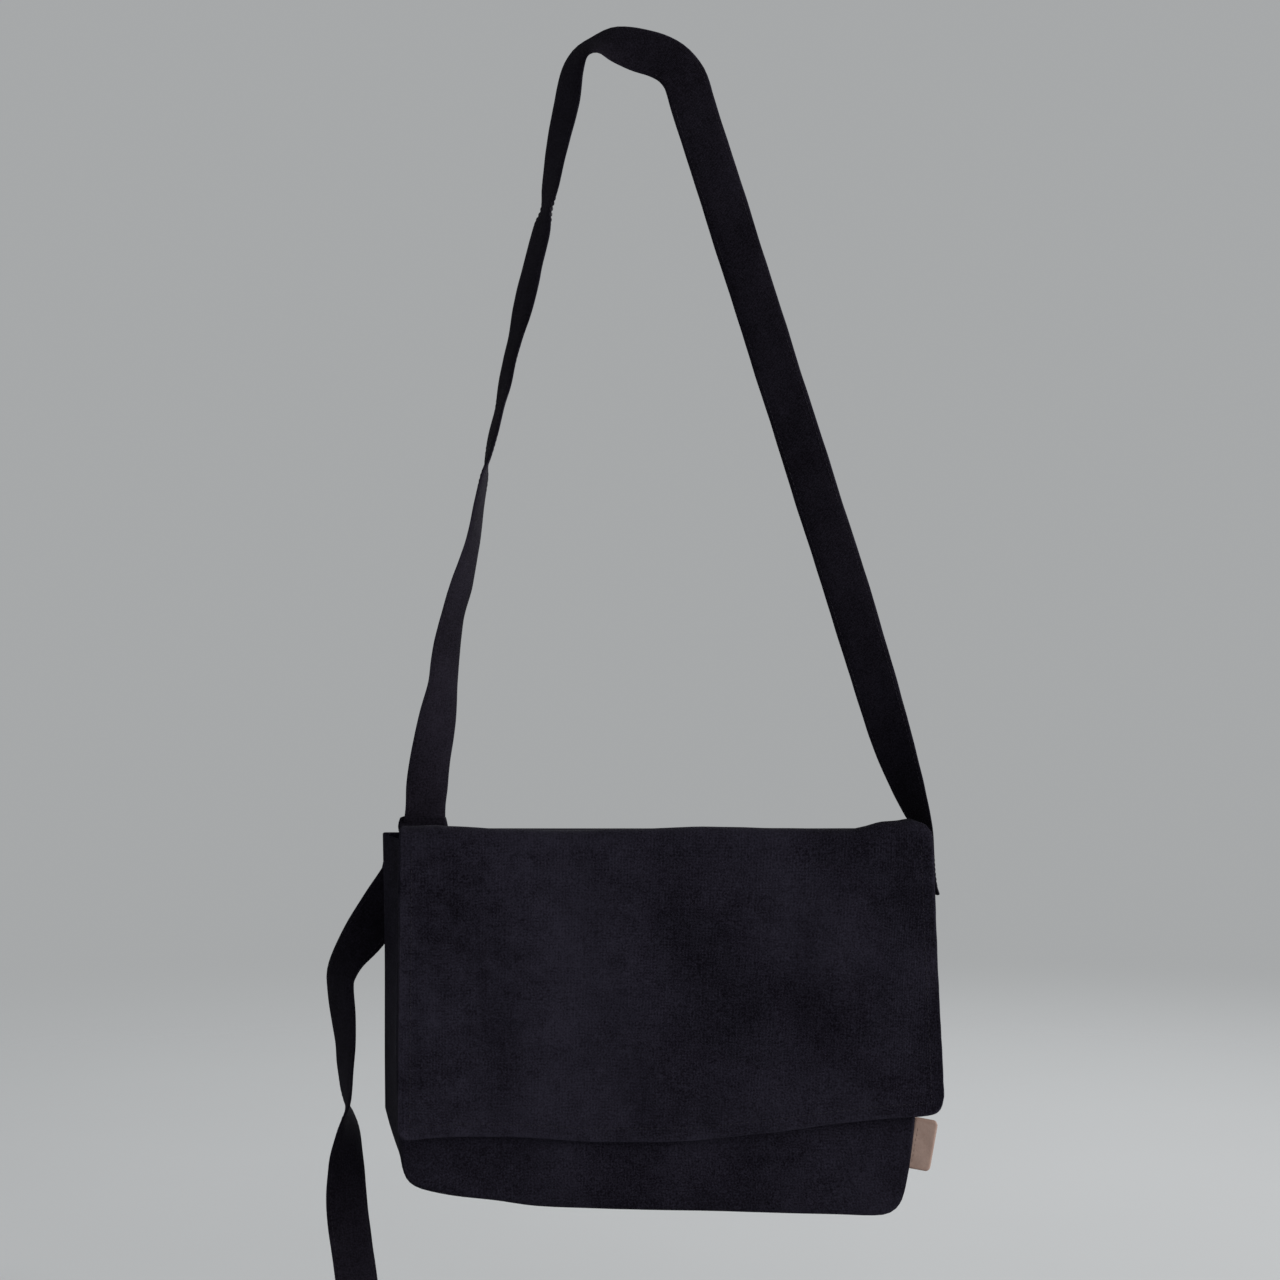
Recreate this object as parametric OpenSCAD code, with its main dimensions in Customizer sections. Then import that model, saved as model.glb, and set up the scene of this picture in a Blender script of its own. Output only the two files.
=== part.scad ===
// Small canvas flap bag on one long shoulder strap.
// It hangs by the middle of its strap: the origin is where the strap's lower
// edge rests on whatever holds it. +Z is up, -Y is the side the flap covers
// and +X is the side where the strap is sewn on. Millimetres.

/* [Body] */
// Width of the body across its mouth
mouth_w = 299; // [240:1:370]
// Width of the body at its bottom, before the corners are rounded
base_w = 277; // [220:1:350]
// Height of the body
body_h = 196; // [150:1:260]
// Radius of the two bottom corners
corner_r = 30; // [12:1:50]
// Depth of the body at its mouth
mouth_depth = 46; // [34:1:80]
// Depth of the body at its bottom
base_depth = 56; // [34:1:90]
// Distance from the strap's resting point down to the mouth
body_drop = 423; // [330:1:560]
// Sideways place of the body's middle under the strap's resting point
body_x = 6; // [-15:1:15]
// Thickness of the canvas
canvas_t = 1.4; // [1:0.1:2]

/* [Lining] */
// Thickness of the lining cloth
lining_t = 0.6; // [0.4:0.1:1.2]
// Height of the hem folded in around the mouth
hem_h = 18; // [8:1:30]
// Thickness of the folded hem
hem_t = 1; // [0.6:0.1:1.6]

/* [Pocket] */
// Width of the slip pocket
pocket_w = 150; // [80:1:190]
// Height of the slip pocket
pocket_h = 105; // [60:1:120]
// Room inside the slip pocket, front to back
pocket_room = 6; // [5:0.5:10]
// Thickness of the pocket cloth
pocket_t = 0.8; // [0.5:0.1:1.5]
// Height of the pocket's hem
pocket_hem_h = 14; // [6:1:25]

/* [Flap] */
// Width of the flap
flap_w = 286; // [230:1:340]
// Length of the flap below its front fold
flap_drop = 160; // [90:1:190]
// Sideways place of the flap's middle from the body's middle
flap_x = 9; // [-9:1:9]
// Radius of the flap's two lower corners
flap_corner_r = 16; // [4:1:40]
// Thickness of the cloth that faces the inside of the flap
facing_t = 0.8; // [0.5:0.1:1.5]
// Room between the flap and the body
flap_gap = 1.5; // [0.8:0.1:4]
// Height of the strip that joins the flap to the back
seam_h = 16; // [10:1:30]

/* [Strap] */
// Width of the strap
strap_w = 25; // [20:1:32]
// Thickness of the strap
strap_t = 2.4; // [1.6:0.1:3.5]
// Length of strap that is sewn to the side of the body
sewn_l = 39; // [25:1:60]
// Distance from the middle of the body's side back to the middle of the sewn end
sewn_back = 1; // [-2:0.5:3]
// Distance from the body's corner to the middle of the keeper loop
keeper_inset = 23.5; // [20:0.5:40]
// Height of the keeper loop
keeper_h = 9.5; // [6:0.5:16]
// Length of the tab that holds the keeper loop
tab_l = 20; // [12:1:30]
// Height of the knot under the keeper loop
knot_h = 16; // [12:1:24]

/* [Tag] */
// Width of the leather tag outside the seam
tag_w = 11; // [8:0.5:20]
// Height of the leather tag
tag_h = 27; // [16:1:40]
// Thickness of the folded leather tag
tag_t = 2.4; // [1.6:0.1:4]
// Length of the tag beside the rounded corner
tag_reach = 9; // [0:1:12]
// Distance from the front of the body back to the middle of the tag
tag_back = 5; // [3:0.5:8]

/* [Hidden] */

canvas_black = [0.10, 0.10, 0.13];
lining_black = [0.16, 0.16, 0.18];
thread_black = [0.06, 0.06, 0.08];
leather_pink = [0.72, 0.55, 0.50];

// Facets of the rounded corners
corner_steps = 10;
// Larger than the body in every direction
reach = 900;

// The side edges lean in by this angle towards the bottom
side_lean = atan((mouth_w - base_w) / 2 / body_h);
// Growth of the body's depth for each millimetre down from the mouth
depth_slope = (base_depth - mouth_depth) / body_h;

flap_t = canvas_t + facing_t;
// Room under the top of the flap, over the rim of the mouth
lid_gap = 0.4;
// Room between two cloth pieces where one folds on the other
fold_gap = 0.4;
lid_top = lid_gap + flap_t;
fold_y = mouth_depth + flap_gap - fold_gap;
flap_edge_left = flap_x - flap_w / 2;
flap_edge_right = flap_x + flap_w / 2;

// Inside the canvas walls, and inside the lining
lined = canvas_t + lining_t;
hemmed = canvas_t + hem_t;

// Height above the mouth where the strap turns on the body
turn_z = 10;
// Room above and below that line, at the sewn end and at the keeper
sewn_gap = 3;
keeper_gap = 0.6;

// Middle of the sewn end, counted from the back
sewn_y = mouth_depth / 2 - sewn_back;

keeper_x = -mouth_w / 2 + keeper_inset;
keeper_y = canvas_t * 2 + 1.8;
keeper_room = 0.6;
keeper_top = turn_z - keeper_gap - 1;
knot_w = strap_w + 5;
knot_t = 8;
// The knot sits a little towards the side that the tail leaves by
knot_shift = -5;
// Room between the keeper's tab and the knot
knot_gap = 0.6;
knot_y = canvas_t * 2 + knot_gap + knot_t / 2;
knot_top = keeper_top - keeper_h - 0.6;

// Side of the body at a height z, which is negative below the mouth
function side_x(z) = mouth_w / 2 + z * tan(side_lean);

// Outline of the body seen from the front, inset by a wall, up to a height top
function body_outline(inset, top = 0) =
    let (
        r = max(corner_r - inset, 1),
        floor_z = -body_h + inset,
        edge = inset / cos(side_lean),
        top_x = side_x(top) - edge,
        cx = side_x(floor_z + r) - edge - r / cos(side_lean),
        cz = floor_z + r,
        arc = [for (i = [0 : corner_steps])
            let (a = -side_lean - (90 - side_lean) * i / corner_steps)
            [cx + r * cos(a), cz + r * sin(a)]]
    )
    concat(
        [[top_x, top]], arc,
        [for (i = [corner_steps : -1 : 0]) [-arc[i].x, arc[i].y]],
        [[-top_x, top]]
    );

// Outline with square upper corners and rounded lower ones, hanging from z = 0
function hanging_outline(left, right, length, r) = concat(
    [[left, 0]],
    [for (i = [0 : corner_steps])
        let (a = 180 + 90 * i / corner_steps)
        [left + r + r * cos(a), -length + r + r * sin(a)]],
    [for (i = [0 : corner_steps])
        let (a = 270 + 90 * i / corner_steps)
        [right - r + r * cos(a), -length + r + r * sin(a)]],
    [[right, 0]]
);

// Rectangle with four round corners around its centre
function round_rect(w, h, r) = [for (c = [0 : 3], i = [0 : corner_steps])
    let (a = 90 * c + 90 * i / corner_steps, sx = (c == 0 || c == 3) ? 1 : -1, sy = c < 2 ? 1 : -1)
    [sx * (w / 2 - r) + r * cos(a), sy * (h / 2 - r) + r * sin(a)]];

// Moves a piece drawn around the middle of the mouth to its place under the strap
module at_body() {
    translate([body_x, 0, -body_drop])
        children();
}

// Prism with the body's outline, from the plane y = back to the front
module body_prism(inset, back, top = 0) {
    translate([0, back, 0])
        rotate([90, 0, 0])
            linear_extrude(base_depth + reach / 10)
                polygon(body_outline(inset, top));
}

// Slab across the body between two depths. Each face leans with the front, or stays
// upright where its lean is 0
module depth_slab(near, far, near_lean = 1, far_lean = 1, top = 0, bottom = body_h) {
    translate([-reach / 2, 0, 0])
        rotate([90, 0, 90])
            linear_extrude(reach)
                polygon([
                    [-near + near_lean * depth_slope * top, top],
                    [-near - near_lean * depth_slope * bottom, -bottom],
                    [-far - far_lean * depth_slope * bottom, -bottom],
                    [-far + far_lean * depth_slope * top, top]
                ]);
}

// Everything between two heights
module level(bottom, top) {
    translate([-reach / 2, -reach / 2, bottom])
        cube([reach, reach, top - bottom]);
}

// Everything on one side: 1 is right and -1 is left
module half(side) {
    translate([side > 0 ? 0 : -reach, -reach / 2, -reach / 2])
        cube([reach, reach, reach]);
}

// Band of cloth that follows the sides and the bottom of the body
module wall_ring(outer, inner, top = 0) {
    difference() {
        body_prism(outer, 0, top);
        body_prism(inner, 1, top + 1);
    }
}

// Upright sheet against the back, between two depths
module back_sheet(near, far, inset) {
    intersection() {
        body_prism(inset, 0);
        depth_slab(near, far, 0, 0);
    }
}

// Leaning sheet against the front, between two distances inside the front face
module front_sheet(outer, inner, inset) {
    intersection() {
        body_prism(inset, 0);
        depth_slab(mouth_depth - inner, mouth_depth - outer);
    }
}

// ---- Body of the bag ----

module back_panel() {
    color(canvas_black)
        at_body()
            back_sheet(0, canvas_t, 0);
}

module front_panel() {
    color(canvas_black)
        at_body()
            front_sheet(0, canvas_t, 0);
}

// The part of the canvas side band between the front and the back
module canvas_band() {
    intersection() {
        wall_ring(0, canvas_t);
        depth_slab(canvas_t, mouth_depth - canvas_t, 0, 1);
    }
}

module gusset(side) {
    intersection() {
        canvas_band();
        level(-body_h + corner_r, 0);
        half(side);
    }
}

module gusset_left() {
    color(canvas_black)
        at_body()
            gusset(-1);
}

module gusset_right() {
    color(canvas_black)
        at_body()
            gusset(1);
}

module bottom_panel() {
    color(canvas_black)
        at_body()
            intersection() {
                canvas_band();
                level(-body_h, -body_h + corner_r);
            }
}

module lining_back() {
    color(lining_black)
        at_body()
            intersection() {
                back_sheet(canvas_t, lined, canvas_t);
                level(-body_h, -hem_h);
            }
}

module lining_front() {
    color(lining_black)
        at_body()
            intersection() {
                front_sheet(canvas_t, lined, canvas_t);
                level(-body_h, -hem_h);
            }
}

module lining_gusset() {
    color(lining_black)
        at_body()
            intersection() {
                wall_ring(canvas_t, lined);
                depth_slab(lined, mouth_depth - lined, 0, 1);
                level(-body_h, -hem_h);
            }
}

module hem_front() {
    color(canvas_black)
        at_body()
            intersection() {
                front_sheet(canvas_t, hemmed, canvas_t);
                level(-hem_h, 0);
            }
}

module hem_back() {
    color(canvas_black)
        at_body()
            intersection() {
                back_sheet(canvas_t, hemmed, canvas_t);
                level(-hem_h, 0);
            }
}

module hem_side(side) {
    intersection() {
        wall_ring(canvas_t, hemmed);
        depth_slab(hemmed, mouth_depth - hemmed, 0, 1);
        level(-hem_h, 0);
        half(side);
    }
}

module hem_left() {
    color(canvas_black)
        at_body()
            hem_side(-1);
}

module hem_right() {
    color(canvas_black)
        at_body()
            hem_side(1);
}

// ---- Slip pocket on the back lining ----

// The pocket starts this far below the hem
pocket_drop = hem_h + 8;
pocket_r = 12;

module pocket_prism(inset, near, far, extra) {
    translate([0, -near, -pocket_drop + extra])
        rotate([90, 0, 0])
            linear_extrude(far - near)
                polygon(hanging_outline(
                    -pocket_w / 2 + inset, pocket_w / 2 - inset, pocket_h - inset + extra, pocket_r - inset
                ));
}

module slip_pocket() {
    color(lining_black)
        at_body()
            difference() {
                pocket_prism(0, lined, lined + pocket_room + pocket_t, 0);
                pocket_prism(pocket_t, lined - 1, lined + pocket_room, 1);
            }
}

module pocket_hem() {
    hem_back_y = -(lined + pocket_room + pocket_t);
    color(lining_black)
        at_body()
            translate([-pocket_w / 2, hem_back_y - pocket_t, -pocket_drop - pocket_hem_h])
                cube([pocket_w, pocket_t, pocket_hem_h]);
}

// ---- Flap ----

// The flap's top stays this far inside the strap where the strap leaves the body
strap_clear = strap_w / 2 + 2;
flap_neck_right = min(mouth_w / 2 - strap_clear, flap_edge_right);
// The neck reaches this far forward, past the strap's front edge
neck_depth = sewn_y + strap_w / 2 + 3;

module flap_top_plate(bottom, top, inset) {
    translate([0, 0, bottom])
        linear_extrude(top - bottom)
            polygon([
                [flap_edge_left + inset, -fold_gap],
                [flap_neck_right - inset, -fold_gap],
                [flap_neck_right - inset, -neck_depth],
                [flap_edge_right - inset, -fold_y + 3],
                [flap_edge_right - inset, -fold_y],
                [flap_edge_left + inset, -fold_y]
            ]);
}

module flap_top() {
    color(canvas_black)
        at_body()
            flap_top_plate(lid_gap + facing_t, lid_top, 0);
}

// The facing stops this far inside the flap's edges
facing_inset = 4;

module flap_top_facing() {
    color(lining_black)
        at_body()
            flap_top_plate(lid_gap, lid_gap + facing_t, facing_inset);
}

// Prism with the flap's outline, inset from its three free edges
module flap_prism(inset) {
    translate([0, 0, lid_top])
        rotate([90, 0, 0])
            linear_extrude(base_depth + reach / 10)
                polygon(hanging_outline(
                    flap_edge_left + inset, flap_edge_right - inset,
                    flap_drop - inset, max(flap_corner_r - inset, 1)
                ));
}

// Sheet that hangs in front of the body, between two distances from its front face
module flap_sheet(near, far, inset) {
    intersection() {
        flap_prism(inset);
        depth_slab(mouth_depth + near, mouth_depth + far, 1, 1, lid_top);
    }
}

module flap_front() {
    color(canvas_black)
        at_body()
            flap_sheet(flap_gap + facing_t, flap_gap + flap_t, 0);
}

module flap_front_facing() {
    color(lining_black)
        at_body()
            flap_sheet(flap_gap, flap_gap + facing_t, facing_inset);
}

// A strip at the top of the back, which carries the flap's edge and the keeper's tab
tab_hold = 8;
seam_left = min(flap_edge_left, keeper_x - tab_hold);

module flap_seam_strip() {
    color(canvas_black)
        at_body()
            translate([seam_left, 0, -seam_h])
                cube([flap_neck_right - seam_left, canvas_t, seam_h]);
}

// ---- Strap ----

// The two places where the strap turns on the body, seen from the resting point
left_turn = [body_x + keeper_x, keeper_y, -body_drop + turn_z + keeper_gap];
right_turn = [body_x + side_x(turn_z) - 4.6, -sewn_y, -body_drop + turn_z + sewn_gap];

// The crown runs flat against the wall, from the left leg over to the right leg
crown_y = 9;
crown_mid = strap_w / 2;

// Points of the crown as [x, height over its middle, twist]
crown_shape = [
    [-41, -28.5, -116],
    [-38, -11.5, -122],
    [-33, -0.5, -134],
    [-25, 4.5, -150],
    [-14, 4.5, -170],
    [0, 0, -180],
    [10, -2.5, -180],
    [18, -6.5, -180],
    [24, -13.5, -180],
    [27, -20.5, -180],
    [29, -27.5, -181]
];

// Left leg from the keeper up, as [share of its way, sideways bow, twist]
left_shape = [
    [0, 0, -12],
    [0.08, -3, -20],
    [0.15, -4, -34],
    [0.25, -6, -52],
    [0.33, -5, -60],
    [0.43, -4, -76],
    [0.5, -4, -88],
    [0.57, -4, -96],
    [0.64, -3, -103],
    [0.72, -2, -113],
    [0.8, 0, -111],
    [0.85, 0, -103],
    [0.93, 0, -111]
];

// Right leg from the crown down, in the same terms
right_shape = [
    [0.05, 0, -182],
    [0.16, 0, -186],
    [0.3, 0, -188],
    [0.44, 0, -190],
    [0.58, 0, -188],
    [0.72, 0, -190],
    [0.86, -1, -204],
    [0.93, -1, -218],
    [1, 0, -242]
];

function crown_point(s) = [s[0], crown_y, crown_mid + s[1], s[2]];
function leg_point(from, to, s) =
    let (p = from + (to - from) * s[0])
    [p.x + s[1], p.y, p.z, s[2]];

crown_last = len(crown_shape) - 1;
crown_left = [crown_shape[0][0], crown_y, crown_mid + crown_shape[0][1]];
crown_right = [crown_shape[crown_last][0], crown_y, crown_mid + crown_shape[crown_last][1]];

strap_route = concat(
    [for (s = left_shape) leg_point(left_turn, crown_left, s)],
    [for (s = crown_shape) crown_point(s)],
    [for (s = right_shape) leg_point(crown_right, right_turn, s)]
);

// The tail as [x, y, z, twist] from the middle of the knot's lower edge
tail_shape = [
    [-6, 0, -1.4, 0],
    [-8, 0, -8, 0],
    [-17, 0, -22, 0],
    [-27, -1, -38, -14],
    [-35, -1, -52, -40],
    [-39, -1, -67, -55],
    [-38, -1, -83, -58],
    [-37, -1, -104, -66],
    [-37, -1, -130, -88],
    [-36, -1, -149, -118],
    [-37, -1, -179, -155],
    [-35, -1, -196, -176],
    [-31, -1, -229, -180],
    [-28, -1, -257, -180],
    [-28, -1, -280, -180],
    [-28, -1, -294, -180]
];
tail_start = [
    body_x + keeper_x + knot_shift, keeper_y + 1.4, -body_drop + knot_top - knot_h
];
tail_route = [for (p = tail_shape) [tail_start.x + p[0], tail_start.y + p[1], tail_start.z + p[2], p[3]]];

// Rings laid between two neighbouring route points
ring_steps = 2;

// Smooth curve through the route points, one value at a time
function blend_points(a, b, c, d, t) =
    0.5 * (2 * b + (c - a) * t + (2 * a - 5 * b + 4 * c - d) * t * t + (3 * b - a - 3 * c + d) * t * t * t);

function smooth_route(p) =
    let (last = len(p) - 1)
    concat(
        [for (i = [0 : last - 1], s = [0 : ring_steps - 1])
            blend_points(p[max(i - 1, 0)], p[i], p[i + 1], p[min(i + 2, last)], s / ring_steps)],
        [p[last]]
    );

function place(p) = [p.x, p.y, p.z];
function direction(p, i) =
    let (v = place(p[min(i + 1, len(p) - 1)]) - place(p[max(i - 1, 0)]))
    v / norm(v);

// Flat cross-section with small chamfers, as [across, through]
function strap_section(w, t) =
    let (c = t * 0.3)
    [
        [w / 2, -t / 2 + c], [w / 2, t / 2 - c], [w / 2 - c, t / 2], [-w / 2 + c, t / 2],
        [-w / 2, t / 2 - c], [-w / 2, -t / 2 + c], [-w / 2 + c, -t / 2], [w / 2 - c, -t / 2]
    ];

// One cross-section of the strap, turned about its own run by the point's twist
function strap_ring(p, i, w, t) =
    let (
        run = direction(p, i),
        front = [0, -1, 0],
        flat = front - run * (front * run),
        face = flat / norm(flat),
        side = cross(run, face),
        a = p[i][3],
        across = side * cos(a) + face * sin(a),
        through = face * cos(a) - side * sin(a)
    )
    [for (q = strap_section(w, t)) place(p[i]) + across * q[0] + through * q[1]];

// Strap swept through the points first..last of a smooth route
module strap_sweep(p, first, last, w, t) {
    rings = [for (i = [first : last]) each strap_ring(p, i, w, t)];
    n = 8;
    count = last - first + 1;
    walls = [for (i = [0 : count - 2], j = [0 : n - 1])
        let (a = i * n + j, b = i * n + (j + 1) % n)
        each [[a, b, b + n], [a, b + n, a + n]]];
    caps = [
        [for (j = [n - 1 : -1 : 0]) j],
        [for (j = [0 : n - 1]) (count - 1) * n + j]
    ];
    polyhedron(points = rings, faces = concat(walls, caps));
}

strap_rings = smooth_route(strap_route);
crown_first = len(left_shape) * ring_steps;
crown_end = crown_first + crown_last * ring_steps;

module strap_leg_left() {
    color(canvas_black)
        strap_sweep(strap_rings, 0, crown_first, strap_w, strap_t);
}

module strap_crown() {
    color(canvas_black)
        strap_sweep(strap_rings, crown_first, crown_end, strap_w, strap_t);
}

module strap_leg_right() {
    color(canvas_black)
        strap_sweep(strap_rings, crown_end, len(strap_rings) - 1, strap_w, strap_t);
}

// Lies outside the right gusset and ends a little above the mouth
module sewn_strip(thickness, from, half_w, bottom, top) {
    intersection() {
        wall_ring(-from - thickness, -from, turn_z);
        depth_slab(sewn_y - half_w, sewn_y + half_w, 0, 0, turn_z);
        level(bottom, top);
        half(1);
    }
}

module strap_sewn_end() {
    color(canvas_black)
        at_body()
            sewn_strip(strap_t, 0, strap_w / 2, -sewn_l, turn_z - sewn_gap);
}

module keeper_loop() {
    outer_w = strap_w + 2 * (keeper_room + canvas_t);
    inner_w = strap_w + 2 * keeper_room;
    back_y = keeper_y + strap_t / 2 + keeper_room;
    color(canvas_black)
        at_body()
            translate([keeper_x, 0, 0]) {
                difference() {
                    translate([-outer_w / 2, canvas_t, keeper_top - keeper_h])
                        cube([outer_w, back_y, keeper_h]);
                    translate([-inner_w / 2, canvas_t * 2, keeper_top - keeper_h - 1])
                        cube([inner_w, back_y - 2 * canvas_t, keeper_h + 2]);
                }
                translate([-outer_w / 2, canvas_t, -tab_l])
                    cube([outer_w, canvas_t, tab_l]);
            }
}

module strap_in_keeper() {
    color(canvas_black)
        at_body()
            translate([keeper_x - strap_w / 2, keeper_y - strap_t / 2, knot_top])
                cube([strap_w, strap_t, turn_z - keeper_gap - knot_top]);
}

module strap_knot() {
    color(canvas_black)
        at_body()
            translate([keeper_x + knot_shift, knot_y + knot_t / 2, knot_top - knot_h / 2])
                rotate([90, 0, 0])
                    linear_extrude(knot_t)
                        polygon(round_rect(knot_w, knot_h, knot_h / 2 - 1));
}

tail_rings = smooth_route(tail_route);
// The tail's last stretch is its hem, folded over once
hem_first = (len(tail_route) - 2) * ring_steps;

module strap_tail() {
    color(canvas_black)
        strap_sweep(tail_rings, 0, hem_first, strap_w, strap_t);
}

module tail_hem() {
    color(canvas_black)
        strap_sweep(tail_rings, hem_first, len(tail_rings) - 1, strap_w, strap_t);
}

// ---- Stitching ----

thread_w = 0.7;
thread_t = 0.4;
// Rows run this far inside an edge
row_inset = 4;

module stitching_strap_end() {
    color(thread_black)
        at_body()
            difference() {
                sewn_strip(thread_t, strap_t, strap_w / 2 - row_inset, -sewn_l + row_inset, -row_inset);
                sewn_strip(
                    thread_t * 3, strap_t - thread_t, strap_w / 2 - row_inset - thread_w,
                    -sewn_l + row_inset + thread_w, -row_inset - thread_w
                );
            }
}

module stitching_keeper() {
    rows = [-row_inset, -tab_l + row_inset];
    run = strap_w - row_inset;
    color(thread_black)
        at_body()
            for (z = rows)
                translate([keeper_x - run / 2, canvas_t * 2, z])
                    cube([run, thread_t, thread_w]);
}

module stitching_mouth() {
    color(thread_black)
        at_body()
            intersection() {
                front_sheet(-thread_t, 0, row_inset);
                level(-hem_h + 1, -hem_h + 1 + thread_w);
            }
}

module stitching_flap_seam() {
    run = flap_neck_right - (keeper_x + strap_w) - row_inset;
    color(thread_black)
        at_body()
            translate([keeper_x + strap_w, canvas_t, -seam_h + row_inset])
                cube([run, thread_t, thread_w]);
}

module stitching_flap_edge() {
    color(thread_black)
        at_body()
            intersection() {
                difference() {
                    flap_prism(row_inset + 2);
                    translate([0, 1, 0])
                        flap_prism(row_inset + 2 + thread_w);
                }
                depth_slab(
                    mouth_depth + flap_gap + flap_t, mouth_depth + flap_gap + flap_t + thread_t,
                    1, 1, lid_top
                );
                level(-body_h, -row_inset);
            }
}

// ---- Leather tag in the right side seam ----

// The tag stands this far off the seam, so that it can flex
tag_gap = 0.8;
// Depth of the tag's upper end below the mouth
tag_drop = body_h - corner_r + tag_reach - tag_h;
tag_x = side_x(-tag_drop - tag_h / 2) + tag_gap;
tag_y = -mouth_depth - depth_slope * tag_drop + tag_back;

// Puts a piece drawn beside the seam, with y pointing out of the front, in place
module at_tag() {
    at_body()
        translate([tag_x, tag_y, -tag_drop - tag_h / 2])
            rotate([0, side_lean, 0])
                rotate([90, 0, 0])
                    children();
}

module leather_tag() {
    color(leather_pink)
        at_tag()
            translate([tag_w / 2, 0, -tag_t / 2])
                linear_extrude(tag_t)
                    polygon(round_rect(tag_w, tag_h, 2));
}

module stitching_tag() {
    color(thread_black)
        at_tag()
            translate([1.5, -tag_h / 2 + row_inset, tag_t / 2])
                cube([thread_w, tag_h - 2 * row_inset, thread_t]);
}

strap_crown();
strap_leg_left();
strap_leg_right();
back_panel();
front_panel();
gusset_left();
gusset_right();
bottom_panel();
lining_back();
lining_front();
lining_gusset();
hem_front();
hem_back();
hem_left();
hem_right();
slip_pocket();
pocket_hem();
flap_seam_strip();
keeper_loop();
strap_in_keeper();
strap_knot();
strap_sewn_end();
stitching_strap_end();
stitching_keeper();
stitching_mouth();
stitching_flap_seam();
flap_top();
flap_top_facing();
flap_front();
flap_front_facing();
stitching_flap_edge();
strap_tail();
tail_hem();
leather_tag();
stitching_tag();
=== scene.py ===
"""Looks of a small black canvas flap bag that hangs by its strap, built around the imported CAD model."""
import math

import bmesh
import bpy
import numpy as np
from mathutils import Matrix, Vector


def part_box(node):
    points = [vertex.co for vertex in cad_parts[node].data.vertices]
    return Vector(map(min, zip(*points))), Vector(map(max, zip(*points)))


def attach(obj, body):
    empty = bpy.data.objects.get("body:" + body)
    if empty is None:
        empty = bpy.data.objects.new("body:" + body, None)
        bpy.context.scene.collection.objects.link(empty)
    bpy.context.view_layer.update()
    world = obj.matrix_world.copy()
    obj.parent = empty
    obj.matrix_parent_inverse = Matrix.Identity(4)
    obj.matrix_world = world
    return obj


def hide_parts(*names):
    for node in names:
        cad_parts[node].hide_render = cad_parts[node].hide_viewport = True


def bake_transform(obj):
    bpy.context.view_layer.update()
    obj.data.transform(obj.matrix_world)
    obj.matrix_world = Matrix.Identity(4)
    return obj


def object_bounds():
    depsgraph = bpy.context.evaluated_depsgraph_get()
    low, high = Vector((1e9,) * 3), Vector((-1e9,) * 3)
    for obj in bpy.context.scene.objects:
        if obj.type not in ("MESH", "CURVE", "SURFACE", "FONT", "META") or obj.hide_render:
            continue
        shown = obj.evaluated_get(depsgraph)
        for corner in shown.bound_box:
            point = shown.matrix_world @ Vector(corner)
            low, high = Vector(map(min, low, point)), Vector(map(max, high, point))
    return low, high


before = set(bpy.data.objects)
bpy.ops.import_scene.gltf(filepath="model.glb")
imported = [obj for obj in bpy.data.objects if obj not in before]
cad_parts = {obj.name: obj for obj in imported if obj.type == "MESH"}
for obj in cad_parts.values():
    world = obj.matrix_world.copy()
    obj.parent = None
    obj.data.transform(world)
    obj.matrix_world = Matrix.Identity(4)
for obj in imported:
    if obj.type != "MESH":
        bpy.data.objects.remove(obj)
CAD_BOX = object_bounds()
MM = 0.001

# ---- Camera ----


def make_camera():
    data = bpy.data.cameras.new("camera")
    camera = bpy.data.objects.new("camera", data)
    bpy.context.scene.collection.objects.link(camera)
    distance, width_there, height = 1.4, 0.7104, -0.3158
    data.sensor_width = 36
    data.lens = data.sensor_width * distance / width_there
    camera.location = (0, -distance, height)
    camera.rotation_euler = (math.pi / 2, 0, 0)
    bpy.context.scene.camera = camera


make_camera()


def low(node):
    return np.array(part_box(node)[0]) / MM


def high(node):
    return np.array(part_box(node)[1]) / MM


# Levels of the frame and sizes of the cloth, in millimetres
MOUTH_Z = high("front_panel")[2]
BASE_Z = low("bottom_panel")[2]
BODY_H = MOUTH_Z - BASE_Z
CENTRE = np.array([6.0, -26.0, (MOUTH_Z + BASE_Z) / 2])
STRAP_W, STRAP_T = 25.0, 2.4
CANVAS_T, LINING_T, FACING_T = 1.4, 0.6, 0.8
ROLL = 2.6  # radius where a panel turns over at its edge
PANEL_W = 285  # a panel's width, for distances from its sides
RIBBON_STEP = 3.0  # distance between the rings of a strap
TO_FRONT = (0, -1.0, 0)
KNOT_BOTTOM = np.array([-125.0, 6.0, low("strap_knot")[2]])

# ---- Small numeric helpers ----


def unit(v):
    return v / np.maximum(np.linalg.norm(v, axis=-1, keepdims=True), 1e-9)


def smooth_steps(x, a, b):
    t = np.clip((np.asarray(x, float) - a) / (b - a), 0, 1)
    return t * t * (3 - 2 * t)


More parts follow.
